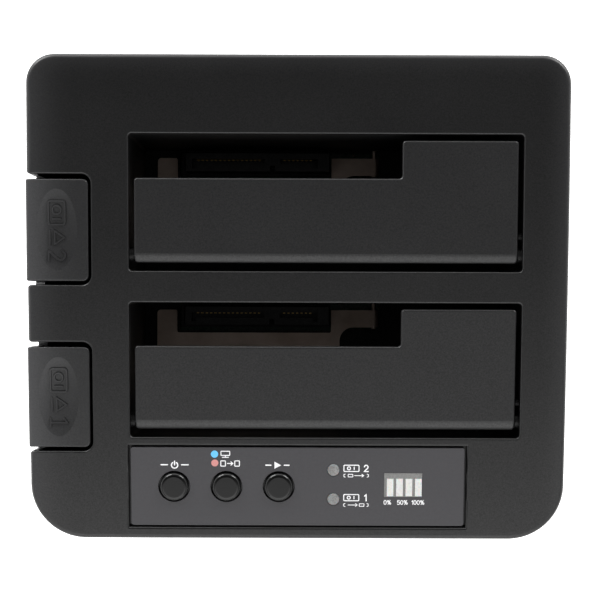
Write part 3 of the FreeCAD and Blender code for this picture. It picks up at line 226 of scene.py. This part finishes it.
def steel(name, base, rough=(0.28, 0.42), brushed=(1, 12, 1), turn=0.0, stain=0.12, tint=None, line=0.004):
    """Rolled or drawn steel: lines along the drawing, dull patches and a slight stain."""
    t = Tree(name)
    lines = t.noise(700, 3, 0.6, t.mapping(scale=brushed, rotation=(0, 0, turn)))
    patch = t.noise(110, 4, 0.6)
    tone = t.mix(t.ramp(patch, 0.35, 0.7, 0, 1), base, tint or scaled(base, 1 - stain))
    tone = t.mix(t.ramp(lines, 0.3, 0.7, 0, 0.4), tone, scaled(base, 0.8))
    t.colour(tone)
    t.set(Metallic=1.0)
    t.roughness(t.math("ADD", t.math("MULTIPLY", lines, 0.6), t.math("MULTIPLY", patch, 0.4)), *rough)
    t.bump(lines, line * MM)
    return t.mat


def rubber(name, base):
    t = Tree(name)
    fine = t.noise(1500, 4, 0.7)
    t.colour(t.mix(t.ramp(t.noise(90, 3), 0.3, 0.7, 0, 1), scaled(base, 0.8), scaled(base, 1.3)))
    t.roughness(fine, 0.72, 0.88)
    t.bump(fine, 0.02 * MM)
    return t.mat


def frosted(name, base, deep, cells=1400, light=0.0):
    """Frosted lens or light guide: lighter grain over a deeper tone."""
    t = Tree(name)
    grain = t.noise(cells, 3, 0.6)
    patch = t.noise(420, 2, 0.5)
    t.colour(t.mix(t.ramp(t.math("ADD", t.math("MULTIPLY", grain, 0.5), t.math("MULTIPLY", patch, 0.5)), 0.36, 0.64, 0, 1), deep, base))
    t.roughness(grain, 0.22, 0.36)
    t.bump(grain, 0.012 * MM)
    t.set(IOR=1.5, Subsurface_Weight=0.35, Subsurface_Scale=0.0006)
    if light:
        t.set(Emission_Color=(*base, 1), Emission_Strength=light)
    return t.mat


def board(name):
    """A green circuit board: tracks, ground pour and vias under the lacquer."""
    t = Tree(name)
    v = t.node("ShaderNodeTexVoronoi", feature="DISTANCE_TO_EDGE", distance="MANHATTAN") if False else t.node("ShaderNodeTexVoronoi", feature="F1", distance="CHEBYCHEV")
    v.inputs["Scale"].default_value = 330
    t.link(t.where, v.inputs["Vector"])
    b = t.node("ShaderNodeTexBrick")
    b.inputs["Scale"].default_value = 420
    b.inputs["Mortar Size"].default_value = 0.16
    b.inputs["Brick Width"].default_value = 3.4
    b.inputs["Row Height"].default_value = 0.34
    t.link(t.where, b.inputs["Vector"])
    track = t.math("MULTIPLY", b.outputs["Fac"], t.ramp(t.noise(60, 2), 0.48, 0.52, 0, 1))
    via = t.math("LESS_THAN", v.outputs["Distance"], 0.11)
    tone = t.mix(t.ramp(t.noise(50, 3), 0.3, 0.7, 0, 1), (0.0035, 0.030, 0.012), (0.0050, 0.042, 0.017))
    tone = t.mix(t.math("MULTIPLY", track, 0.7), tone, (0.009, 0.068, 0.026))
    tone = t.mix(via, tone, (0.16, 0.14, 0.08))
    t.colour(tone)
    t.roughness(t.noise(700, 2), 0.2, 0.34)
    t.bump(t.math("ADD", track, via), 0.02 * MM)
    t.set(IOR=1.5)
    return t.mat


def ribbon(name):
    """Ribbon cable: ten wires side by side, the first one marked."""
    t = Tree(name)
    w = t.node("ShaderNodeTexWave", wave_type="BANDS", bands_direction="X", wave_profile="SIN")
    w.inputs["Scale"].default_value = 1 / 1.27e-3 / 3.18
    t.link(t.where, w.inputs["Vector"])
    s = t.node("ShaderNodeSeparateXYZ")
    t.link(t.where, s.inputs[0])
    first = t.math("LESS_THAN", s.outputs[0], -2.73 * MM)
    tone = t.mix(t.ramp(w.outputs["Fac"], 0.0, 0.5, 1, 0), (0.40, 0.40, 0.41), (0.22, 0.22, 0.23))
    tone = t.mix(first, tone, (0.45, 0.05, 0.04))
    t.colour(tone)
    t.roughness(t.noise(900, 2), 0.42, 0.55)
    t.bump(w.outputs["Fac"], 0.25 * MM)
    return t.mat


# painted sheen on the case's top: for each edge the axis, its place and reach in millimetres, and how much paler it is
# painted
SHEEN_EDGES = [(0, -71.9, -14.0, 0.42), (0, 71.7, 9.0, 0.28), (1, 64.4, 7.0, 0.22), (1, -64.4, -3.0, 0.15)]
finish = {
    "case_black": plastic("case_black", (0.0034, 0.0034, 0.0036), (0.32, 0.39), (4300.0, 0.007), 0.06, dust=0.006, spec=0.47, painted_sheen=SHEEN_EDGES),
    "base_black": plastic("base_black", (0.0060, 0.0060, 0.0063), (0.44, 0.54), (4300.0, 0.007), 0.06, dust=0.004),
    "frame_black": plastic("frame_black", (0.0042, 0.0042, 0.0045), (0.50, 0.60), (1700.0, 0.008), 0.08, spec=0.4),
    "flap_black": plastic("flap_black", (0.0082, 0.0082, 0.0087), (0.34, 0.41), (4000.0, 0.007), 0.04, dust=0.006, mottle=0.30),
    # the caps' tops are painted paler towards their left edge, a painted sheen like the case's
    "cap_black": plastic("cap_black", (0.0088, 0.0088, 0.0094), (0.36, 0.44), (4000.0, 0.004), 0.05, dust=0.003, painted_sheen=[(0, -71.9, -16.0, 0.85)]),
    "panel_grey": plastic("panel_grey", (0.0392, 0.0378, 0.0420), (0.34, 0.42), (2900.0, 0.004), 0.015, mottle=0.10),
    "gloss_black": gloss("gloss_black", (0.0016, 0.0016, 0.0016), (0.12, 0.18)),
    "lens_grey": frosted("lens_grey", (0.245, 0.245, 0.242), (0.155, 0.155, 0.155), 2300),
    "window_grey": plastic("window_grey", (0.215, 0.215, 0.208), (0.30, 0.38), (2700.0, 0.004), 0.02, mottle=0.16),
    "bar_white": frosted("bar_white", (0.69, 0.69, 0.67), (0.63, 0.63, 0.61), 1900),
    "plate_steel": steel("plate_steel", (0.80, 0.66, 0.57), (0.46, 0.60), (1, 10, 1), 0.0, 0.25, (0.62, 0.49, 0.40)),
    "rocker_black": plastic("rocker_black", (0.014, 0.014, 0.014), (0.42, 0.5), (1800.0, 0.008), 0.08),
    "bright_steel": steel("bright_steel", (0.16, 0.16, 0.165), (0.30, 0.42), (12, 1, 1)),
    "spring_steel": steel("spring_steel", (0.070, 0.070, 0.072), (0.34, 0.46), (8, 8, 1)),
    "screw_steel": steel("screw_steel", (0.42, 0.42, 0.43), (0.26, 0.40), (6, 6, 1), 0.0, 0.25),
    "foot_rubber": rubber("foot_rubber", (0.016, 0.016, 0.016)),
    "board_green": board("board_green"),
    "chip_black": plastic("chip_black", (0.018, 0.018, 0.019), (0.5, 0.6), (4200.0, 0.008), 0.1),
    "coil_grey": plastic("coil_grey", (0.060, 0.060, 0.062), (0.5, 0.62), (1600.0, 0.02), 0.15),
    "capacitor_metal": steel("capacitor_metal", (0.60, 0.60, 0.61), (0.22, 0.32), (3, 3, 10), 0.0, 0.08),
    "part_tan": plastic("part_tan", (0.26, 0.20, 0.135), (0.38, 0.5), (2600.0, 0.006), 0.1),
    "port_metal": steel("port_metal", (0.46, 0.46, 0.45), (0.16, 0.28), (10, 1, 1), 0.0, 0.1),
    "connector_black": plastic("connector_black", (0.0065, 0.0065, 0.0068), (0.30, 0.42), (2000.0, 0.006), 0.06),
    "contact_gold": steel("contact_gold", (0.66, 0.46, 0.18), (0.22, 0.34), (1, 1, 8), 0.0, 0.1),
    "switch_black": plastic("switch_black", (0.022, 0.022, 0.022), (0.36, 0.46), (2200.0, 0.006), 0.08),
    "led_white": frosted("led_white", (0.82, 0.82, 0.74), (0.70, 0.68, 0.55), 2600),
    "header_white": plastic("header_white", (0.72, 0.70, 0.64), (0.36, 0.46), (1800.0, 0.008), 0.04),
    "ribbon_grey": ribbon("ribbon_grey"),
}
slot_of = {s["node"]: s["material_slot"] for s in frame["record"]["subparts"]}
for name, o in nodes.items():
    o.data.materials.clear()
    o.data.materials.append(finish[slot_of[name]])


def ink(name, base):
    """Screen-printed ink: a little thin in places, with a soft edge to its gloss."""
    t = Tree(name)
    thin = t.noise(2600, 3, 0.6)
    t.colour(t.mix(t.ramp(thin, 0.30, 0.52, 0.22, 0), base, scaled(base, 0.55)))
    t.roughness(thin, 0.42, 0.55)
    t.bump(thin, 0.004 * MM)
    return t.mat


white_ink = ink("ink_white", (0.86, 0.86, 0.87))
blue_ink = ink("ink_blue", (0.130, 0.520, 0.930))
red_ink = ink("ink_red", (0.600, 0.250, 0.235))


# ---------------------------------------------------------------- surfaces that signs are laid on
def skin(*names):
    """The rest surface of some nodes, for laying things on it from above."""
    verts, faces = [], []
    for n in names:
        m = nodes[n].data
        k = len(verts)
        verts += [v.co.copy() for v in m.vertices]
        faces += [[k + i for i in p.vertices] for p in m.polygons]
    return BVHTree.FromPolygons(verts, faces)


def drop(tree, x, y, near=None):
    """Where a plumb line at x, y meets the surface."""
    hit = tree.ray_cast(Vector((x, y, 0.2)), Vector((0, 0, -1)))
    if hit[0] is None:
        return Vector((x, y, near))
    return hit[0]


panel_skin = skin("control_panel")
lo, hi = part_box("control_panel")
pc = (lo + hi) / 2
pa = drop(panel_skin, 0.0, pc.y - 0.009)
pb = drop(panel_skin, 0.0, pc.y + 0.009)
up = (pb - pa).normalized()
out = Vector((1, 0, 0)).cross(up)
# the panel's own axes: u to the right, v up the slope, w out of it. The middle of the buttons' row is v = 0.
kb_lo, kb_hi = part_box("power_button")
row = (kb_lo + kb_hi) / 2
mid = pa + up * ((pc - pa).dot(up))


def on_panel(u, v, w):
    return mid + Vector((1, 0, 0)) * (u * MM) + up * (v * MM) + out * (w * MM)


def make(name, verts, faces, material, body, slot=None, smooth=False):
    mesh = bpy.data.meshes.new(name)
    mesh.from_pydata([tuple(v) for v in verts], [], faces)
    mesh.validate()
    if smooth:
        for p in mesh.polygons:
            p.use_smooth = True
    mesh.materials.append(material)
    o = bpy.data.objects.new(name, mesh)
    scene.collection.objects.link(o)
    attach(o, body)
    return o


def arc(cx, cy, r, a0, a1, n=24):
    return [(cx + r * math.cos(math.radians(a0 + (a1 - a0) * i / n)), cy + r * math.sin(math.radians(a0 + (a1 - a0) * i / n))) for i in range(n + 1)]


def rounded(x0, y0, x1, y1, r, n=6):
    pts = []
    for cx, cy, a in ((x1 - r, y1 - r, 0), (x0 + r, y1 - r, 90), (x0 + r, y0 + r, 180), (x1 - r, y0 + r, 270)):
        pts += arc(cx, cy, r, a, a + 90, n)
    return pts


def dense(pts, closed, step):
    """The same line with a point at least every step, and none doubled."""
    out_ = []
    n = len(pts)
    for i in range(n if closed else n - 1):
        a, b = Vector(pts[i]), Vector(pts[(i + 1) % n])
        k = max(1, int(math.ceil((b - a).length / step)))
        if (b - a).length < 1e-5:
            continue
        for j in range(k):
            out_.append(a + (b - a) * (j / k))
    if not closed:
        out_.append(Vector(pts[-1]))
    return out_


def lines(name, strokes, width, height, place, material, body, slot=None, step=0.4, sink=0.02, shoulder=0.25):
    """Raised lines: each stroke is (points, closed), in millimetres, swept with a low rounded section
    and laid on a surface by place(u, v, height)."""
    verts, faces = [], []
    section = [(-0.5, 0.0), (-0.5 + shoulder * 0.35, 0.72), (-0.5 + shoulder, 1.0), (0.5 - shoulder, 1.0), (0.5 - shoulder * 0.35, 0.72), (0.5, 0.0)]
    m = len(section)
    for pts, closed in strokes:
        pts = dense(pts, closed, step)
        n = len(pts)
        rings = []
        for i, p in enumerate(pts):
            a = pts[i - 1] if (i or closed) else p
            b = pts[(i + 1) % n] if (i < n - 1 or closed) else p
            d0 = (p - a).normalized() if (p - a).length > 1e-7 else (b - p).normalized()
            d1 = (b - p).normalized() if (b - p).length > 1e-7 else d0
            t = (d0 + d1)
            t = t.normalized() if t.length > 1e-6 else d1
            side = Vector((-t.y, t.x))
            k = 1.0 / max(0.6, side.dot(Vector((-d1.y, d1.x))))
            rings.append((p, side, k, t))
        ends = []
        if not closed:
            # round ends, drawn with shrinking sections
            first, last = rings[0], rings[-1]
            for base, sign in ((first, -1), (last, 1)):
                extra = []
                for f in (0.45, 0.8, 0.97):
                    extra.append((base[0] + base[3] * (sign * width * 0.5 * f), base[1], math.sqrt(1 - f * f), base[3]))
                ends.append(extra)
            rings = ends[0][::-1] + rings + ends[1]
        k0 = len(verts)
        for p, side, k, _ in rings:
            for s, h in section:
                q = p + side * (s * width * k)
                verts.append(place(q.x, q.y, -sink if h == 0.0 else h * height))
        r = len(rings)
        for i in range(r if closed else r - 1):
            j = (i + 1) % r
            for c in range(m):
                d = (c + 1) % m
                faces.append([k0 + i * m + c, k0 + i * m + d, k0 + j * m + d, k0 + j * m + c])
        if not closed:
            faces.append([k0 + c for c in range(m)][::-1])
            faces.append([k0 + (r - 1) * m + c for c in range(m)])
    o = make(name, verts, faces, material, body, slot, smooth=True)
    fix_normals(o)
    return o


def fix_normals(o):
    import bmesh
    bm = bmesh.new()
    bm.from_mesh(o.data)
    bmesh.ops.recalc_face_normals(bm, faces=bm.faces)
    bm.to_mesh(o.data)
    bm.free()
    o.data.set_sharp_from_angle(angle=math.radians(40))


def solid(name, outlines, thick, place, material, body, slot=None, step=0.5, bevel=0.0):
    """Flat signs: closed outlines in millimetres (holes inside others are cut), given a thickness."""
    cu = bpy.data.curves.new(name + "_outline", "CURVE")
    cu.dimensions = "2D"
    cu.fill_mode = "BOTH"
    cu.extrude = thick / 2
    for pts in outlines:
        pts = dense(pts, True, step)
        sp = cu.splines.new("POLY")
        sp.points.add(len(pts) - 1)
        for i, p in enumerate(pts):
            sp.points[i].co = (p[0], p[1], 0, 1)
        sp.use_cyclic_u = True
    return filled(name, cu, thick, place, material, body, slot)


def filled(name, cu, thick, place, material, body, slot=None, move=None):
    tmp = bpy.data.objects.new(name + "_tmp", cu)
    scene.collection.objects.link(tmp)
    bpy.context.view_layer.update()
    mesh = bpy.data.meshes.new_from_object(tmp.evaluated_get(bpy.context.evaluated_depsgraph_get()))
    bpy.data.objects.remove(tmp)
    bpy.data.curves.remove(cu)
    pts = [v.co.copy() for v in mesh.vertices]
    if move:
        pts = move(pts)
    verts = [place(p.x, p.y, (p.z / thick + 0.5) * thick - 0.004) for p in pts]
    faces = [list(p.vertices) for p in mesh.polygons]
    bpy.data.meshes.remove(mesh)
    o = make(name, verts, faces, material, body, slot)
    import bmesh
    bm = bmesh.new()
    bm.from_mesh(o.data)
    bmesh.ops.remove_doubles(bm, verts=bm.verts, dist=2e-6)
    bmesh.ops.recalc_face_normals(bm, faces=bm.faces)
    bm.to_mesh(o.data)
    bm.free()
    return o


def oval(cx, cy, a, b, n=26):
    return [(cx + a * math.cos(2 * math.pi * i / n), cy + b * math.sin(2 * math.pi * i / n)) for i in range(n)]


def glyph(c):
    """The strokes of a numeral one unit tall, and its width."""
    if c == "0":
        return [(oval(0.30, 0.5, 0.30, 0.5), True)], 0.60
    if c == "1":
        return [([(0.0, 0.76), (0.24, 1.0), (0.24, 0.0)], False)], 0.26
    if c == "2":
        return [([(0.02, 0.74)] + arc(0.30, 0.71, 0.285, 165, -38, 14) + [(0.0, 0.0), (0.62, 0.0)], False)], 0.62
    if c == "5":
        return [([(0.55, 1.0), (0.10, 1.0), (0.04, 0.55)] + arc(0.28, 0.32, 0.32, 125, -140, 18), False)], 0.60
    if c == "%":
        return [(oval(0.20, 0.77, 0.17, 0.20, 14), True), (oval(0.74, 0.23, 0.17, 0.20, 14), True), ([(0.72, 1.0), (0.22, 0.0)], False)], 0.92
    raise ValueError(c)


def numeral(text, height, u, v, gap=0.20, squeeze=1.0):
    """Plain numerals as strokes, height millimetres tall and centred at u, v."""
    parts, x = [], 0.0
    for c in text:
        g, w = glyph(c)
        parts += [([((x + px) * squeeze, py) for px, py in pts], closed) for pts, closed in g]
        x += w + gap
    x = (x - gap) * squeeze
    return [([(u + (px - x / 2) * height, v + (py - 0.5) * height) for px, py in pts], closed) for pts, closed in parts]


# ---------------------------------------------------------------- signs printed on the panel
INK = 0.022


def printed(name, strokes, width=0.34, colour=None):
    return lines(name, strokes, width, INK, on_panel, colour or white_ink, "housing", "bar_white", 0.2, 0.004, 0.10)


# power: a broken ring and a stroke, between two short rules
px_, py_ = -32.95, 5.95
printed("sign_power", [(arc(px_, py_ - 0.10, 0.84, 125, 415, 34), False), ([(px_, py_ - 0.05), (px_, py_ + 0.98)], False),
                       ([(px_ - 3.65, py_), (px_ - 1.9, py_)], False), ([(px_ + 1.9, py_), (px_ + 3.65, py_)], False)])
# the two modes: a computer, and one sheet onto another
mx, my = -19.32, 8.86
printed("sign_mode_computer", [(rounded(mx - 1.18, my - 0.28, mx + 1.18, my + 0.85, 0.15), True), ([(mx, my - 0.28), (mx, my - 0.78)], False), ([(mx - 0.80, my - 0.82), (mx + 0.80, my - 0.82)], False)], 0.25)
cx_, cy_ = -18.05, 6.35
printed("sign_mode_copy", [(rounded(cx_ - 2.5, cy_ - 0.72, cx_ - 1.25, cy_ + 0.72, 0.15), True), (rounded(cx_ + 1.25, cy_ - 0.72, cx_ + 2.5, cy_ + 0.72, 0.15), True),
                           ([(cx_ - 0.72, cy_), (cx_ + 0.70, cy_)], False), ([(cx_ + 0.22, cy_ + 0.46), (cx_ + 0.72, cy_), (cx_ + 0.22, cy_ - 0.46)], False)], 0.26)
# start: a triangle, between two short rules
sx, sy = -5.35, 5.92
solid("sign_start", [[(sx - 0.80, sy - 0.98), (sx + 1.0, sy), (sx - 0.80, sy + 0.98)]], INK, on_panel, white_ink, "housing", "bar_white")
printed("sign_start_rules", [([(sx - 3.1, sy), (sx - 1.75, sy)], False), ([(sx + 1.85, sy), (sx + 3.1, sy)], False)])
solid("dot_computer", [arc(-22.22, 8.92, 0.98, 0, 352, 44)], INK, on_panel, blue_ink, "housing")
solid("dot_copy", [arc(-22.14, 6.50, 0.95, 0, 352, 44)], INK, on_panel, red_ink, "housing")
# the bays' lights: a drive and its number, and where the data goes
for n, v1, v2 in ((2, 5.13, 3.12), (1, -2.98, -5.02)):
    u0 = 12.50
    drive = [(rounded(u0, v1 - 0.86, u0 + 4.05, v1 + 0.86, 0.22), True), (oval(u0 + 1.35, v1, 0.42, 0.42, 18), True), ([(u0 + 2.75, v1 - 0.36), (u0 + 2.75, v1 + 0.36)], False)]
    printed("sign_drive_%d" % n, drive, 0.27)
    printed("number_%d" % n, numeral(str(n), 1.72, u0 + (6.0 if n == 2 else 5.85), v1), 0.33)
    h2 = 0.42
    way = [([(u0 + 0.35, v2 + h2), (u0, v2 + h2 - 0.15), (u0, v2 - h2 + 0.15), (u0 + 0.35, v2 - h2)], False),
           ([(u0 + 6.25, v2 + h2), (u0 + 6.6, v2 + h2 - 0.15), (u0 + 6.6, v2 - h2 + 0.15), (u0 + 6.25, v2 - h2)], False)]
    if n == 2:
        # out of the drive
        way += [(rounded(u0 + 1.15, v2 - 0.36, u0 + 2.4, v2 + 0.36, 0.1), True), ([(u0 + 2.9, v2), (u0 + 5.3, v2)], False), ([(u0 + 4.85, v2 + 0.36), (u0 + 5.35, v2), (u0 + 4.85, v2 - 0.36)], False)]
    else:
        # into the drive
        way += [(rounded(u0 + 4.2, v2 - 0.36, u0 + 5.45, v2 + 0.36, 0.1), True), ([(u0 + 1.2, v2), (u0 + 3.6, v2)], False), ([(u0 + 3.15, v2 + 0.36), (u0 + 3.65, v2), (u0 + 3.15, v2 - 0.36)], False)]
    printed("sign_way_%d" % n, way, 0.20)
# the gauge's scale
for name, text, u in (("scale_0", "0%", 24.26), ("scale_50", "50%", 28.29), ("scale_100", "100%", 32.48)):
    printed(name, numeral(text, 1.12, u, -4.26, 0.22, 0.96), 0.21)


# ---------------------------------------------------------------- signs raised on the eject caps
def cap_place(n):
    tree = skin("eject_button_%d" % n)
    lo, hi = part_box("eject_button_%d" % n)
    xc, yc = -0.0637, (lo.y + hi.y) / 2

    def place(s, t, h):
        # s runs towards the front, t towards the middle of the case
        p = drop(tree, xc + t * MM, yc - s * MM, hi.z)
        return p + Vector((0, 0, h * MM))

    return place


digits = {
    2: [[(-1.15, 1.25)] + arc(0, 1.05, 1.2, 170, -20, 14) + [(0.55, -0.25), (-1.2, -2.15), (1.3, -2.15)]],
    1: [[(-0.95, 1.35), (0.15, 2.2), (0.15, -2.2)], [(-0.95, -2.2), (1.25, -2.2)]],
}
for n in (2, 1):
    place = cap_place(n)
    s0 = -7.6
    drive = [(rounded(s0, -2.2, s0 + 6.2, 2.2, 0.7), True), (arc(s0 + 2.3, 0, 1.15, 0, 345, 20), True), ([(s0 + 4.7, -1.0), (s0 + 4.7, 1.0)], False)]
    e0 = s0 + 9.6
    eject = [([(e0 - 1.75, -0.55), (e0, 1.95), (e0 + 1.75, -0.55)], True), ([(e0 - 1.75, -1.85), (e0 + 1.75, -1.85)], False)]
    d0 = e0 + 4.7
    number = [([(d0 + x, y) for x, y in pts], False) for pts in digits[n]]
    lines("cap_sign_%d" % n, drive + eject + number, 0.58, 0.42, place, finish["cap_black"], "eject_cap_%d" % n, "cap_black", 0.3, 0.08, 0.16)


# ---------------------------------------------------------------- floor, lights and camera
def floor():
    n, r = 96, 3.0
    rings = [0.0, 0.12, 0.2, 0.35, 0.7, 1.5, r]
    verts, faces = [(0, 0, 0)], []
    for k in rings[1:]:
        verts += [(k * math.cos(2 * math.pi * i / n), k * math.sin(2 * math.pi * i / n), 0) for i in range(n)]
    for i in range(n):
        faces.append([0, 1 + i, 1 + (i + 1) % n])
    for k in range(len(rings) - 2):
        for i in range(n):
            j = (i + 1) % n
            a = 1 + k * n
            faces.append([a + i, a + n + i, a + n + j, a + j])
    mesh = bpy.data.meshes.new("floor")
    mesh.from_pydata(verts, [], faces)
    t = Tree("floor_white")
    t.colour(t.mix(t.ramp(t.noise(3, 2), 0.3, 0.7, 0, 1), (0.90, 0.90, 0.90), (0.92, 0.92, 0.92)))
    t.set(Roughness=0.9, Emission_Color=(1, 1, 1, 1), Emission_Strength=0.95, Specular_IOR_Level=0.1)
    mesh.materials.append(t.mat)
    o = bpy.data.objects.new("floor", mesh)
    scene.collection.objects.link(o)


def wire(name, path, r, material, sides=10):
    """A round wire along path (millimetres), its ends closed flat."""
    pts = [Vector(q) * MM for q in path]
    n = len(pts)
    ways = [((pts[min(i + 1, n - 1)] - pts[i]).normalized() + (pts[i] - pts[max(i - 1, 0)]).normalized()).normalized() for i in range(n)]
    side = ways[0].orthogonal().normalized()
    verts, faces = [], []
    for q, w in zip(pts, ways):
        side = (side - w * side.dot(w)).normalized()
        other = w.cross(side)
        verts += [q + (side * math.cos(a) + other * math.sin(a)) * r * MM for a in (2 * math.pi * k / sides for k in range(sides))]
    for i in range(n - 1):
        for k in range(sides):
            m = (k + 1) % sides
            faces.append((i * sides + k, i * sides + m, (i + 1) * sides + m, (i + 1) * sides + k))
    faces.append(tuple(reversed(range(sides))))
    faces.append(tuple((n - 1) * sides + k for k in range(sides)))
    mesh = bpy.data.meshes.new(name)
    mesh.from_pydata([tuple(v) for v in verts], [], faces)
    mesh.validate()
    for poly in mesh.polygons:
        poly.use_smooth = len(poly.vertices) == 4
    mesh.materials.append(material)
    o = bpy.data.objects.new(name, mesh)
    scene.collection.objects.link(o)
    return o


def springs(n, cy, z0, hy, hz):
    """The springs as coils of wire in place of the CAD springs: the eject spring as a helix, the flap's spring as a
    wound coil with its legs.
    """
    turns, per = 6, 40
    coil = []
    for i in range(turns * per + 1):
        a = 2 * math.pi * i / per
        coil.append((-62.0 + 3.7 * math.cos(a), cy + 3.7 * math.sin(a), z0 + 0.36 + 13.16 * i / (turns * per)))
    o = wire("eject_coil_%d" % n, coil, 0.35, finish["spring_steel"])
    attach(o, "housing")
    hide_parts("eject_spring_%d" % n)
    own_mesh(o)

    path = [(44.6, hy + 8.5 - 0.5 * i, hz + 1.25) for i in range(17)]
    rounds = 6.25
    count = int(rounds * 36)
    for i in range(count + 1):
        a = 2 * math.pi * rounds * i / count
        path.append((44.6 + 4.4 * i / count, hy - 1.25 * math.sin(a), hz + 1.25 * math.cos(a)))
    path += [(49.0, hy - 1.25 - 0.35 * i / 2.0, hz - 0.6 * i) for i in range(1, 12)]
    o = wire("flap_coil_%d" % n, path, 0.25, finish["spring_steel"])
    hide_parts("flap_spring_%d" % n)
    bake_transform(o)


springs(2, 18.4, 49.38, 11.9, 66.256)
springs(1, -26.0, 44.036, -32.5, 60.658)


floor()


SKY_AT = (0, 8, 14, 20, 27, 35, 45, 58, 72, 90)
SKY = {
    "zenith": 0.05,
    "front": [0.075, 0.075, 0.32, 1.62, 3.05, 2.70, 1.20, 0.60, 0.50],
    "rear": [0.07, 0.13, 0.25, 0.28, 0.20, 0.25, 1.10, 3.60, 4.60],
    "left": [0.07, 0.09, 0.12, 0.14, 0.15, 0.20, 0.60, 1.60, 2.60],
    "right": [0.07, 0.14, 0.27, 0.32, 0.25, 0.20, 0.40, 1.00, 1.80],
}
LAMPS = [
    ("lamp_front", (0.0, -1.15, 0.55), (1.4, 0.5), 1.7),
    ("lamp_rear_left", (-0.698, 0.961, 0.529), (0.68, 0.5), 11.0),
    ("lamp_rear_right", (0.810, 0.869, 0.529), (0.55, 0.5), 11.0),
]


def softbox(name, at, size, strength, colour=(1, 1, 1)):
    """A soft lamp facing the object. strength is its brightness as seen."""
    data = bpy.data.lights.new(name, "AREA")
    data.shape = "RECTANGLE"
    data.size, data.size_y = size
    data.energy = strength * math.pi * size[0] * size[1]
    data.color = colour
    o = bpy.data.objects.new(name, data)
    o.location = at
    aim = Vector((0, 0, 0.05)) - Vector(at)
    o.rotation_mode = "QUATERNION"
    o.rotation_quaternion = aim.to_track_quat("-Z", "Y")
    scene.collection.objects.link(o)
    return o


for name, at, size, strength in LAMPS:
    softbox(name, at, size, strength)

world = bpy.data.worlds.new("tent")
scene.world = world
world.use_nodes = True
wt = world.node_tree
wt.nodes.clear()


def wnode(kind, **settings):
    n = wt.nodes.new(kind)
    for k, v in settings.items():
        setattr(n, k, v)
    return n


def wmath(op, a, b=None):
    n = wnode("ShaderNodeMath", operation=op)
    for i, x in enumerate((a, b)):
        if isinstance(x, (int, float)):
            n.inputs[i].default_value = x
        elif x is not None:
            wt.links.new(x, n.inputs[i])
    return n.outputs[0]


# the tent: its brightness at angles from straight overhead, towards each of the four sides
axes = wnode("ShaderNodeSeparateXYZ")
wt.links.new(wnode("ShaderNodeTexCoord").outputs["Generated"], axes.inputs[0])
dx, dy, dz = axes.outputs
lean = wmath("DIVIDE", wmath("ARCCOSINE", wmath("MAXIMUM", dz, 0.0)), math.pi / 2)
flat = wmath("MAXIMUM", wmath("ADD", wmath("MULTIPLY", dx, dx), wmath("MULTIPLY", dy, dy)), 1e-9)
total = None
for side, sign, axis in (("right", 1, dx), ("left", -1, dx), ("rear", 1, dy), ("front", -1, dy)):
    toward = wmath("MAXIMUM", wmath("MULTIPLY", axis, sign), 0.0)
    share = wmath("DIVIDE", wmath("MULTIPLY", toward, toward), flat)
    rmp = wnode("ShaderNodeValToRGB", name="tent_" + side)
    el = rmp.color_ramp.elements
    vals = [SKY["zenith"]] + SKY[side]
    for deg in SKY_AT[1:-1]:
        el.new(deg / 90)
    for i, val in enumerate(vals):
        el[i].color = (val / 10, val / 10, val / 10, 1)
    wt.links.new(lean, rmp.inputs[0])
    part = wmath("MULTIPLY", share, rmp.outputs[0])
    total = part if total is None else wmath("ADD", total, part)
bg = wnode("ShaderNodeBackground")
wt.links.new(total, bg.inputs[0])
bg.inputs[1].default_value = 10.0
wt.links.new(bg.outputs[0], wnode("ShaderNodeOutputWorld").inputs[0])

cam_data = bpy.data.cameras.new("camera")
cam = bpy.data.objects.new("camera", cam_data)
scene.collection.objects.link(cam)
cam.location = (0.00055, 0.0, 0.554)
cam.rotation_euler = (0, 0, math.radians(0.2))
cam_data.sensor_width = 36
cam_data.lens = 109.9
cam_data.clip_start, cam_data.clip_end = 0.05, 10
scene.camera = cam
scene.view_settings.view_transform = "Standard"
scene.view_settings.look = "None"
